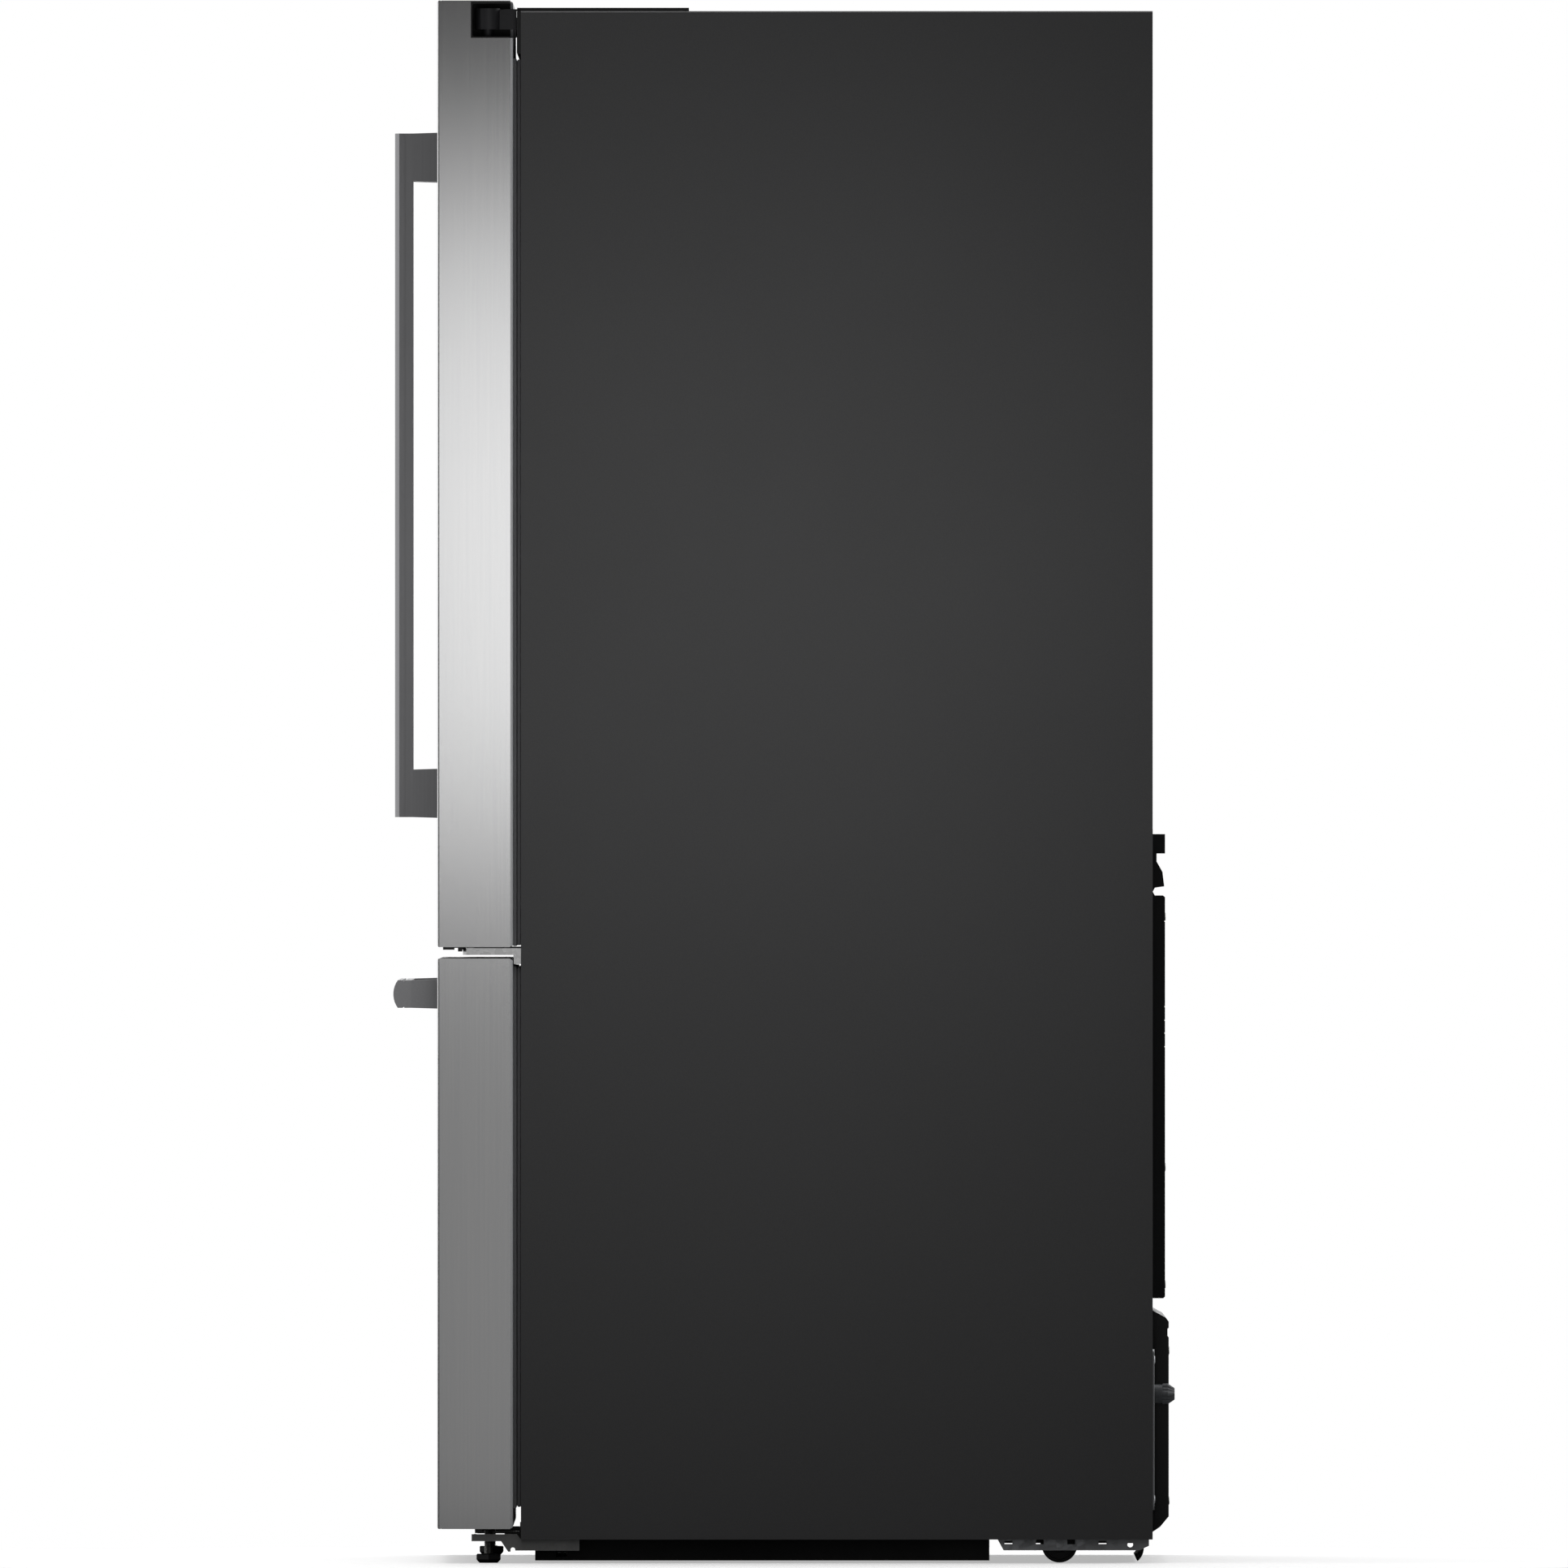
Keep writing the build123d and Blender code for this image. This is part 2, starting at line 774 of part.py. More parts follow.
# Tall rear cover: a flat box face, a pinched neck, a small hood and a top block.
duct_width = 150.0
duct_bulge = 16.1
duct_bevel = 2.0
duct_flange = 2.1
duct_bottom = machine_top + 11.6
duct_height = 536.2
duct_top = duct_bottom + duct_height
duct_face_top = duct_top - 77.8
neck_z = duct_top - 71.4
neck_half = 4.5
hood_base = duct_top - 65.3
hood_depth = 15.2
hood_shoulder = duct_top - 48.8
hood_top = duct_top - 36.8
hood_inset = 6.5
block_low = duct_top - 27.8
block_high = duct_top - 5.6
duct_grooves = (287.5, 303.0, 317.6, 333.2, 430.9)
with BuildPart() as duct_cover:
    y0 = y_case_back
    with BuildSketch(side_plane(-duct_width / 2)):
        with BuildLine():
            Polyline(
                (y0, duct_bottom),
                (y0 + duct_bulge - duct_bevel, duct_bottom),
                (y0 + duct_bulge, duct_bottom + duct_bevel),
                (y0 + duct_bulge, duct_face_top),
                (y0 + duct_bulge - duct_bevel, duct_face_top + duct_bevel),
                (y0 + neck_half, duct_face_top + duct_bevel),
                (y0 + duct_flange, neck_z),
                (y0 + neck_half, neck_z + neck_half),
                (y0 + hood_depth, hood_base),
                (y0 + hood_depth - duct_bevel, hood_shoulder),
                (y0 + hood_inset, hood_top),
                (y0 + hood_inset, block_low),
                (y0 + duct_bulge, block_low),
                (y0 + duct_bulge, block_high),
                (y0 + duct_flange, block_high),
                (y0 + duct_flange, duct_top),
                (y0, duct_top),
                close=True,
            )
        make_face()
        for rise in duct_grooves:
            with Locations((y0 + duct_bulge, duct_bottom + rise)):
                Rectangle(1.6, 1.2, mode=Mode.SUBTRACT)
    extrude(amount=duct_width)
save(duct_cover, "duct_cover")

with BuildPart() as water_inlet:
    block(
        (valve_x - valve_plate_left, valve_x + valve_plate_right),
        (y_case_back, y_case_back + valve_plate),
        (nut_z - valve_plate_below, nut_z + valve_plate_above),
    )
    with Locations((valve_x, y_case_back - valve_body[1] / 2, nut_z)):
        Box(*valve_body)
    with BuildSketch(front_plane(y_case_back)):
        with Locations((valve_x, nut_z)):
            Circle(valve_neck_radius)
    extrude(amount=-(inlet_projection - nut_length))
    nut_base = overall_depth / 2 - nut_length
    for y, radius in ((nut_base, nut_wide), (nut_base + nut_length, nut_narrow)):
        with BuildSketch(front_plane(y)):
            with Locations((valve_x, nut_z)):
                RegularPolygon(radius, 6)
    loft()
    with BuildSketch(front_plane(overall_depth / 2)):
        with Locations((valve_x, nut_z)):
            Circle(tube_radius)
    extrude(amount=tube_seat, mode=Mode.SUBTRACT)
save(water_inlet, "water_inlet")


# ======================================================================
# Machine space
# ======================================================================

coil_tube_radius = 4.0
fin_thickness = 1.0
bend_share = 0.45
blade_root = 2.0
blade_sheet = 1.6
blade_pitch = 32.0


def finned_coil(y_middle, z_low, length, rows, pitch, depth, fins, x_middle):
    """A serpentine tube in an upright plane, with fins across its straight runs."""
    points = []
    for row in range(rows):
        z = z_low + row * pitch
        ends = (-length / 2, length / 2) if row % 2 == 0 else (length / 2, -length / 2)
        points += [(x_middle + end, y_middle, z) for end in ends]
    with BuildPart() as coil:
        with BuildLine() as path:
            FilletPolyline(*points, radius=bend_share * pitch)
        with BuildSketch(Plane(origin=path.line @ 0, z_dir=path.line % 0)):
            Circle(coil_tube_radius)
        sweep(path=path.line)
        span = length - 2 * pitch
        for i in range(fins):
            x = x_middle - span / 2 + i * span / (fins - 1)
            block(
                (x - fin_thickness / 2, x + fin_thickness / 2),
                (y_middle - depth / 2, y_middle + depth / 2),
                (z_low - pitch / 2, z_low + (rows - 0.5) * pitch),
            )
    return coil


def rotor(plane, hub_radius, tip_radius, width, bore, blades):
    """A fan rotor about the plane's normal: a bored hub with pitched blades."""
    with BuildPart(plane) as fan:
        Cylinder(hub_radius, width)
        span = tip_radius - hub_radius + blade_root
        with PolarLocations(tip_radius - span / 2, blades):
            Box(span, 1.5 * width, blade_sheet, rotation=(blade_pitch, 0, 0))
        Cylinder(bore, 2 * width, mode=Mode.SUBTRACT)
    return fan


compressor_radius = 72.0
compressor_height = 165.0
compressor_crown = 28.0
compressor_foot_height = 13.0
compressor_foot_radius = 10.0
compressor_base = (200.0, 120.0, 3.0)
compressor_foot_pitch = (170.0, 90.0)
terminal_depth = 26.0
terminal_overlap = 12.0
terminal_half_width = 32.0
terminal_z = (50.0, 120.0)
condenser_length = 200.0
condenser_rows = 7
condenser_pitch = 24.0
condenser_depth = 60.0
condenser_fins = 13
condenser_rise = 53.2
condenser_setback = 10.0
drain_pan_height = 34.0
drain_pan_half = 118.0
drain_pan_wall = 2.0
drain_pan_front_gap = 20.0
drain_pan_rear_gap = 12.0
fan_tip = 78.0
fan_tip_gap = 5.0
fan_bore = 3.0
fan_hub = 20.0
fan_width = 22.0
fan_blades = 5
fan_raise = 8.6
shaft_clearance = 0.05
shroud_sheet = 4.0
shroud_standoff = 18.0
shroud_margin = 12.0
shroud_end_gap = 15.0
motor_radius = 22.0
motor_length = 34.0
strut_width = 14.0
shaft_length = 30.0

# The compressor, the fan and the pan under the condenser lie between the rollers, and share
# out the width that they leave free there.
roller_side_gap = 4.0
compressor_gap_share = 0.153
fan_gap_share = 0.485
pan_gap_share = 0.084
machine_half = rail_x - rail_half_gap - roller_side_gap
motor_reach = shroud_standoff + shroud_sheet + motor_length
shaft_reach = shaft_length - shroud_standoff
free_width = 2 * machine_half - compressor_base[0] - motor_reach - shaft_reach - 2 * drain_pan_half
compressor_x = -machine_half + compressor_gap_share * free_width + compressor_base[0] / 2
fan_x = compressor_x + compressor_base[0] / 2 + fan_gap_share * free_width + motor_reach
condenser_x = machine_half - pan_gap_share * free_width - drain_pan_half
y_machine = (y_machine_front + y_case_back) / 2
z_pan_top = case_clearance + sheet
with BuildPart() as compressor:
    z_feet = z_pan_top + compressor_foot_height
    with Locations((compressor_x, y_machine, z_feet)):
        Cylinder(
            compressor_radius, compressor_height, align=(Align.CENTER, Align.CENTER, Align.MIN)
        )
    fillet(compressor.edges().filter_by(GeomType.CIRCLE), compressor_crown)
    with Locations((compressor_x, y_machine, z_feet)):
        Box(*compressor_base)
        with GridLocations(*compressor_foot_pitch, 2, 2):
            Cylinder(compressor_foot_radius, 2 * compressor_foot_height)
    x_terminal = compressor_x + compressor_radius
    block(
        (x_terminal - terminal_overlap, x_terminal + terminal_depth),
        (y_machine - terminal_half_width, y_machine + terminal_half_width),
        (z_pan_top + terminal_z[0], z_pan_top + terminal_z[1]),
    )
save(compressor, "compressor")

condenser_coil = finned_coil(
    y_machine + condenser_setback,
    case_clearance + condenser_rise,
    condenser_length,
    condenser_rows,
    condenser_pitch,
    condenser_depth,
    condenser_fins,
    condenser_x,
)
save(condenser_coil, "condenser_coil")

with BuildPart() as drain_pan:
    x_pan = (condenser_x - drain_pan_half, condenser_x + drain_pan_half)
    y_pan = (y_machine_front + drain_pan_front_gap, y_case_back - drain_pan_rear_gap)
    block(x_pan, y_pan, (z_pan_top, z_pan_top + drain_pan_height))
    block(
        (x_pan[0] + drain_pan_wall, x_pan[1] - drain_pan_wall),
        (y_pan[0] + drain_pan_wall, y_pan[1] - drain_pan_wall),
        (z_pan_top + drain_pan_wall, z_pan_top + drain_pan_height + 1),
        Mode.SUBTRACT,
    )
save(drain_pan, "drain_pan")

z_shroud_top = machine_top - shroud_margin
fan_z = (z_pan_top + z_shroud_top) / 2 + fan_raise
fan_plane = Plane(origin=(fan_x, y_machine, fan_z), x_dir=(0, 1, 0), z_dir=(1, 0, 0))
condenser_fan = rotor(fan_plane, fan_hub, fan_tip, fan_width, fan_bore, fan_blades)
save(condenser_fan, "condenser_fan")

with BuildPart() as fan_shroud:
    with BuildSketch(side_plane(fan_x - shroud_standoff)):
        with Locations((y_machine, (z_pan_top + z_shroud_top) / 2)):
            Rectangle(machine_depth - 2 * shroud_end_gap, z_shroud_top - z_pan_top)
        with Locations((y_machine, fan_z)):
            Circle(fan_tip + fan_tip_gap, mode=Mode.SUBTRACT)
            Rectangle(2 * (fan_tip + fan_tip_gap + 1), strut_width)
    extrude(amount=-shroud_sheet)
    with BuildSketch(side_plane(fan_x - shroud_standoff - shroud_sheet)):
        with Locations((y_machine, fan_z)):
            Circle(motor_radius)
    extrude(amount=-motor_length)
    with BuildSketch(side_plane(fan_x - shroud_standoff)):
        with Locations((y_machine, fan_z)):
            Circle(fan_bore - shaft_clearance)
    extrude(amount=shaft_length)
save(fan_shroud, "fan_shroud")


# ======================================================================
# Freezer back: evaporator, its fan and covers
# ======================================================================

evaporator_from_back = 34.0
evaporator_rise = 30.0
evaporator_side_gap = 122.5
evaporator_rows = 6
evaporator_pitch = 28.0
evaporator_depth = 52.0
evaporator_fins = 15
evaporator_coil = finned_coil(
    y_fresh_back - evaporator_from_back,
    z_step + evaporator_rise,
    2 * (cavity_half - evaporator_side_gap),
    evaporator_rows,
    evaporator_pitch,
    evaporator_depth,
    evaporator_fins,
    0.0,
)
save(evaporator_coil, "evaporator_coil")

cold_fan_drop = 62.0
cold_fan_z = z_freezer_top - cold_fan_drop
cold_fan_tip = 46.0
cold_fan_gap = 4.0
cold_fan_hub = 14.0
cold_fan_behind = 16.0
cold_shaft_length = 34.0
cross_width = 4.0
cold_plane = Plane(
    origin=(0, y_evaporator + cold_fan_behind, cold_fan_z), x_dir=(1, 0, 0), z_dir=(0, 1, 0)
)
evaporator_fan = rotor(cold_plane, cold_fan_hub, cold_fan_tip, cold_fan_hub, fan_bore, fan_blades)
save(evaporator_fan, "evaporator_fan")

cover_panel = 3.0
cover_panel_gap = 1.0
duct_above_floor = 215.0
duct_below_top = 6.0
outlet_size = (34.0, 8.0)
outlet_pitch = (60.0, 110.0)
outlet_rows = 6
with BuildPart() as air_duct_covers:
    # Freezer rear wall with the fan opening and the shaft that carries the rotor.
    with BuildSketch(front_plane(y_evaporator - cover_panel)):
        with Locations((0, (z_step + z_freezer_top) / 2)):
            Rectangle(2 * (cavity_half - cover_panel_gap), z_freezer_top - z_step - 2 * cover_panel_gap)
        with Locations((0, cold_fan_z)):
            cross_length = 2 * (cold_fan_tip + cold_fan_gap + cover_panel_gap)
            Circle(cold_fan_tip + cold_fan_gap, mode=Mode.SUBTRACT)
            Rectangle(cross_length, cross_width)
            Rectangle(cross_width, cross_length)
    extrude(amount=-cover_panel)
    with BuildSketch(front_plane(y_evaporator - cover_panel)):
        with Locations((0, cold_fan_z)):
            Circle(fan_bore - shaft_clearance)
    extrude(amount=-cold_shaft_length)
    # Fresh-food duct up the back wall, with outlet slots.
    z_duct = (z_fresh_floor + duct_above_floor, z_fresh_top - duct_below_top)
    block(both(duct_half_width), (y_fresh_back - duct_depth, y_fresh_back), z_duct)
    with BuildSketch(front_plane(y_fresh_back - duct_depth)):
        with Locations((0, (z_duct[0] + z_duct[1]) / 2)):
            with GridLocations(*outlet_pitch, 2, outlet_rows):
                SlotOverall(*outlet_size)
    extrude(amount=-outlet_size[1], mode=Mode.SUBTRACT)
save(air_duct_covers, "air_duct_covers")


# ======================================================================
# Shelves and crispers
# ======================================================================

y_shelf_front = y_case_front + shelf_setback
y_shelf_back = y_fresh_back - shelf_rear_gap
shelf_inner = shelf_centre_gap
shelf_outer = cavity_half - shelf_centre_gap / 2
z_crisper_bottom = z_fresh_floor + crisper_rise
z_crisper_top = z_crisper_bottom + crisper_height
z_cover = z_crisper_top + crisper_cover_gap
y_crisper = (y_case_front + crisper_setback, y_fresh_back - crisper_rear_gap)
shelf_pitch = (z_fresh_top - z_cover) / (shelf_levels + 1)
shelves = [
    (sign, z_cover + (i + 1) * shelf_pitch + offset)
    for sign, offset in ((1, right_shelf_offset), (-1, left_shelf_offset))
    for i in range(shelf_levels)
]
pane_inset = rim_width + 4.0
rim_lap = 3.0

with BuildPart() as shelf_panes:
    for sign, z in shelves:
        block(
            (sign * (shelf_inner + rim_width), sign * (shelf_outer - rim_width)),
            (y_shelf_front + rim_width, y_shelf_back - rim_width),
            (z, z + shelf_thickness),
        )
    block(
        both(cavity_half - pane_inset),
        (y_shelf_front + rim_width, y_shelf_back - rim_width),
        (z_cover, z_cover + shelf_thickness),
    )
save(shelf_panes, "shelf_panes")

with BuildPart() as shelf_rims:
    for sign, z in shelves:
        low = z + shelf_thickness + 1 - rim_height
        x_rim = (sign * shelf_inner, sign * shelf_outer)
        block(x_rim, (y_shelf_front, y_shelf_back), (low, low + rim_height))
        block(
            (sign * (shelf_inner + rim_width - rim_lap), sign * (shelf_outer - rim_width + rim_lap)),
            (y_shelf_front + rim_width - rim_lap, y_shelf_back - rim_width + rim_lap),
            (low - 1, z),
            Mode.SUBTRACT,
        )
        block(
            (sign * (shelf_inner + rim_width), sign * (shelf_outer - rim_width)),
            (y_shelf_front + rim_width, y_shelf_back - rim_width),
            (z - 1, low + rim_height + 1),
            Mode.SUBTRACT,
        )
save(shelf_rims, "shelf_rims")

arm_thickness = 3.0
arm_setback = 40.0
arm_toe = 10.0
arm_heel = 34.0
arm_heel_length = 60.0
ladder_inset = 14.0
ladder_above_cover = 40.0
ladder_below_top = 30.0
ladder_places = (shelf_outer - ladder_inset, duct_half_width + ladder_inset)
with BuildPart() as shelf_brackets:
    for sign in (-1, 1):
        for x in ladder_places:
            block(
                (sign * (x - ladder_width / 2), sign * (x + ladder_width / 2)),
                (y_fresh_back - ladder_depth, y_fresh_back),
                (z_cover + ladder_above_cover, z_fresh_top - ladder_below_top),
            )
    for sign, z in shelves:
        for x in ladder_places:
            low = z + shelf_thickness + 1 - rim_height
            with BuildSketch(side_plane(sign * x - arm_thickness / 2)):
                with BuildLine():
                    Polyline(
                        (y_fresh_back - ladder_depth, low),
                        (y_shelf_front + arm_setback, low),
                        (y_shelf_front + arm_setback, low - arm_toe),
                        (y_fresh_back - arm_heel_length, low - arm_heel),
                        (y_fresh_back - ladder_depth, low - arm_heel),
                        close=True,
                    )
                make_face()
            extrude(amount=arm_thickness)
save(shelf_brackets, "shelf_brackets")

# The frame over the crispers carries the lowest pane and the runners for both drawers.
runner_width = 5.0
runner_sheet = 3.0
frame_thickness = 5.0
frame_side_gap = 1.0
guide_block_x = (-16.0, 20.0)
guide_block_setback = 4.0
guide_block_drop = 6.0
console_corner = 8.0
with BuildPart() as crisper_frame:
    frame_half = cavity_half - frame_side_gap
    block(
        both(frame_half),
        (y_shelf_front, y_shelf_back),
        (z_cover - frame_thickness, z_cover + shelf_thickness + 1),
    )
    block(
        both(cavity_half - pane_inset - rim_lap),
        (y_shelf_front + rim_width + rim_lap, y_shelf_back - rim_width - rim_lap),
        (z_cover - frame_thickness - 1, z_cover),
        Mode.SUBTRACT,
    )
    block(
        both(cavity_half - pane_inset),
        (y_shelf_front + rim_width, y_shelf_back - rim_width),
        (z_cover, z_cover + shelf_thickness + 2),
        Mode.SUBTRACT,
    )
    z_runner = z_cover - frame_thickness + 1
    block(both(runner_width / 2), (y_shelf_front, y_shelf_back), (z_fresh_floor, z_runner))
    for sign in (-1, 1):
        block(
            (sign * (frame_half - runner_sheet), sign * frame_half),
            (y_shelf_front, y_shelf_back),
            (z_crisper_bottom, z_runner),
        )
save(crisper_frame, "crisper_frame")

# The console is shallow enough for the folded centre flap to pass under it.
with BuildPart() as ceiling_console:
    y_console = y_case_front + console_setback
    block(
        both(console_half_width),
        (y_console, y_console + console_length),
        (z_fresh_top - flap_end_gap + console_flap_gap, z_fresh_top),
    )
    fillet(ceiling_console.edges().filter_by(Axis.Z), console_corner)
    block(
        guide_block_x,
        (y_case_front + guide_block_setback, y_console + 1),
        (z_fresh_top - guide_block_drop, z_fresh_top),
    )
save(ceiling_console, "ceiling_console")

crisper_middle_gap = 1.5
crisper_corner = 12.0
grip_size = (150.0, 22.0)
grip_drop = 26.0
for side, sign in SIDES:
    x_inner = runner_width / 2 + crisper_middle_gap
    x_outer = cavity_half - crisper_side_gap
    x_middle = sign * (x_inner + x_outer) / 2
    with BuildPart() as crisper:
        block(
            (sign * x_inner, sign * x_outer),
            y_crisper,
            (z_crisper_bottom, z_crisper_top),
        )
        fillet(crisper.edges().filter_by(Axis.Z), crisper_corner)
        block(
            (sign * (x_inner + crisper_wall), sign * (x_outer - crisper_wall)),
            (y_crisper[0] + 2 * crisper_wall, y_crisper[1] - crisper_wall),
            (z_crisper_bottom + crisper_wall, z_crisper_top + 1),
            Mode.SUBTRACT,
        )
        with BuildSketch(front_plane(y_crisper[0])):
            with Locations((x_middle, z_crisper_top - grip_drop)):
                SlotOverall(*grip_size)
        extrude(amount=-2 * crisper_wall - 1, mode=Mode.SUBTRACT)
    save(crisper, f"crisper_{side}")


# ======================================================================
# Freezer: slides, ledges, tray
# ======================================================================

z_tray = z_freezer_top - tray_top_gap - tray_height
z_slide = z_tray - tray_above_slide
y_slide = (y_case_front + slide_setback, y_evaporator - slide_rear_gap)
y_tray = (y_case_front + tray_setback, y_evaporator - tray_rear_gap)
tray_lip_drop = 6.0
tub_corner = 14.0
rim_end_inset = 16.0
rim_sheet = 3.0
slide_inner_x = cavity_half - slide_depth


def channel(sign, x_web, x_open, half_height, z_middle):
    """A slide member: an upright web and two lips that point at the cabinet's middle."""
    block((sign * x_open, sign * x_web), y_slide, (z_middle - half_height, z_middle + half_height))
    block(
        (sign * (x_open - 1), sign * (x_web - slide_sheet)),
        (y_slide[0] - 1, y_slide[1] + 1),
        (z_middle - half_height + slide_sheet, z_middle + half_height - slide_sheet),
        Mode.SUBTRACT,
    )


member_step = slide_sheet + slide_step
with BuildPart() as freezer_rails:
    for side, sign in SIDES:
        channel(sign, cavity_half, slide_inner_x, slide_height / 2, z_slide)
        block(
            (sign * (cavity_half - ledge_width), sign * cavity_half),
            y_tray,
            (z_tray + tray_height - tray_lip_drop - ledge_height, z_tray + tray_height - tray_lip_drop),
        )
save(freezer_rails, "freezer_rails")

with BuildPart() as slide_middles:
    for side, sign in SIDES:
        channel(sign, cavity_half - member_step, slide_inner_x, slide_height / 2 - member_step, z_slide)
save(slide_middles, "slide_middles")

with BuildPart() as freezer_tray:
    tray_half = cavity_half - tray_side_gap
    block(both(tray_half), y_tray, (z_tray, z_tray + tray_height))
    fillet(freezer_tray.edges().filter_by(Axis.Z), tub_corner)
    block(
        both(tray_half - basket_wall),
        (y_tray[0] + basket_wall, y_tray[1] - basket_wall),
        (z_tray + basket_wall, z_tray + tray_height + 1),
        Mode.SUBTRACT,
    )
    for side, sign in SIDES:
        low = z_tray + tray_height - tray_lip_drop + part_gap
        block(
            (sign * (tray_half - 1), sign * (cavity_half - rim_sheet)),
            (y_tray[0] + rim_end_inset, y_tray[1] - rim_end_inset),
            (low, low + rim_sheet),
        )
save(freezer_tray, "freezer_tray")


# ======================================================================
# Freezer drawer
# ======================================================================

def shell_box(x, z):
    """A hollow steel door shell, open at the back, with a seam groove behind its front face."""
    block(x, (y_door_front, y_shell_back), z)
    fillet(faces().sort_by(Axis.Y)[0].edges(), shell_edge_radius)
    low, high = sorted(x)
    middle = ((low + high) / 2, (z[0] + z[1]) / 2)
    width, height = high - low, z[1] - z[0]
    with BuildSketch(front_plane(y_door_front + shell_seam_depth)) as seam:
        with Locations(middle):
            Rectangle(width + 2, height + 2)
            Rectangle(width - shell_sheet, height - shell_sheet, mode=Mode.SUBTRACT)
    extrude(seam.sketch, amount=-seam_width, mode=Mode.SUBTRACT)
    block(
        (low + shell_sheet, high - shell_sheet),
        (y_door_front + shell_sheet, y_shell_back + 1),
        (z[0] + shell_sheet, z[1] - shell_sheet),
        Mode.SUBTRACT,
    )


def core_block(x, z):
    """The foam that fills a door shell."""
    inset = shell_sheet + part_gap
    low, high = sorted(x)
    block(
        (low + inset, high - inset),
        (y_door_front + inset, y_shell_back - part_gap),
        (z[0] + inset, z[1] - inset),
    )


def liner_plate(x, z, dyke_x, dyke_z, depth):
    """The inner plastic panel of a door, with its raised border."""
    low, high = sorted(x)
    block((low + 1, high - 1), (y_shell_back, y_door_back), (z[0] + 1, z[1] - 1))
    fillet(faces().sort_by(Axis.Y)[-1].edges(), door_liner_thickness - part_gap)
    low, high = sorted(dyke_x)
    block((low, high), (y_door_back - 1, y_door_back + depth), dyke_z)
    fillet(faces().sort_by(Axis.Y)[-1].edges(), dyke_edge_radius)
    block(
        (low + dyke_width, high - dyke_width),
        (y_door_back, y_door_back + depth + 1),
        (dyke_z[0] + dyke_width, dyke_z[1] - dyke_width),
        Mode.SUBTRACT,
    )


def gasket_ring(x, z):
    """A magnetic gasket: base, thin neck and soft outer lip, each a ring."""
    low, high = sorted(x)
    middle = ((low + high) / 2, (z[0] + z[1]) / 2)
    total = gasket_gap - part_gap
    foot, neck = gasket_foot_share * total, gasket_neck_share * total
    layers = ((0, foot, 0), (foot, neck, gasket_neck_inset), (neck, total, gasket_lip_inset))
    for near, far, inset in layers:
        with BuildSketch(front_plane(y_door_back + near)) as ring:
            with Locations(middle):
                Rectangle(high - low - 2 * inset, z[1] - z[0] - 2 * inset)
                Rectangle(
                    high - low - 2 * gasket_width + 2 * inset,
                    z[1] - z[0] - 2 * gasket_width + 2 * inset,
                    mode=Mode.SUBTRACT,
                )
        extrude(ring.sketch, amount=-(far - near))


drawer_z = (drawer_clearance, z_drawer_top)
dyke_half = cavity_half - dyke_clearance
drawer_dyke_z = (z_freezer_floor + dyke_clearance, z_freezer_top - dyke_end_clearance)

with BuildPart() as drawer_shell:
    shell_box(both(half_width), drawer_z)
save(drawer_shell, "drawer_shell")

with BuildPart() as drawer_core:
    core_block(both(half_width), drawer_z)
save(drawer_core, "drawer_core")

with BuildPart() as drawer_liner:
    liner_plate(both(half_width), drawer_z, both(dyke_half), drawer_dyke_z, drawer_dyke_depth)
save(drawer_liner, "drawer_liner")

with BuildPart() as drawer_gasket:
    gasket_ring(
        both(half_width - gasket_side_inset),
        (drawer_clearance + drawer_gasket_rise, z_drawer_top - drawer_gasket_drop),
    )
save(drawer_gasket, "drawer_gasket")


def handle_profile(centre, across):
    """Section of a handle bar: crowned front, flat back and a groove along each flank."""
    half = handle_bar_width / 2
    back = y_handle_front + handle_bar_depth
    edge = y_handle_front + handle_crown

    def at(depth, side):
        return (depth, centre + side) if across == "z" else (centre + side, depth)

    with BuildLine() as outline:
        ThreePointArc(at(edge, -half), at(y_handle_front, 0), at(edge, half))
        Line(at(edge, half), at(back, half))
        Line(at(back, half), at(back, -half))
        Line(at(back, -half), at(edge, -half))
    make_face(outline.edges())
    for side in (-half, half):
        with Locations(at(y_handle_front + groove_share * handle_bar_depth, side)):
            Rectangle(2 * handle_groove, 2 * handle_groove, mode=Mode.SUBTRACT)


with BuildPart() as drawer_handle:
    z_handle = z_drawer_top - drawer_handle_drop
    with BuildSketch(side_plane(-drawer_handle_length / 2)):
        handle_profile(z_handle, "z")
    extrude(amount=drawer_handle_length)
    for sign in (-1, 1):
        x_post = sign * (drawer_handle_length - handle_post_height) / 2
        for y, grow in ((y_door_front, handle_post_flare), (y_handle_front + handle_bar_depth, 0)):
            with BuildSketch(front_plane(y)):
                with Locations((x_post, z_handle)):
                    Rectangle(handle_post_height + 2 * grow, handle_bar_width + 2 * grow)
        loft()
save(drawer_handle, "drawer_handle")

inner_web = cavity_half - 2 * member_step
arm_sheet = 2.5
arm_x = (slide_inner_x - 2 * arm_sheet, slide_inner_x - arm_sheet)
arm_foot_width = 22.0
arm_foot_half = 45.0
inner_half = slide_height / 2 - 2 * member_step
with BuildPart() as drawer_brackets:
    for side, sign in SIDES:
        channel(sign, inner_web, arm_x[1], inner_half, z_slide)
        block(
            (sign * arm_x[0], sign * arm_x[1]),
            (y_door_back + drawer_dyke_depth, y_slide[1]),
            (z_slide - inner_half, z_slide + inner_half),
        )
        block(
            (sign * (dyke_half - arm_foot_width), sign * arm_x[1]),
            (y_door_back + drawer_dyke_depth, y_door_back + drawer_dyke_depth + arm_sheet),
            (z_slide - arm_foot_half, z_slide + arm_foot_half),
        )
save(drawer_brackets, "drawer_brackets")

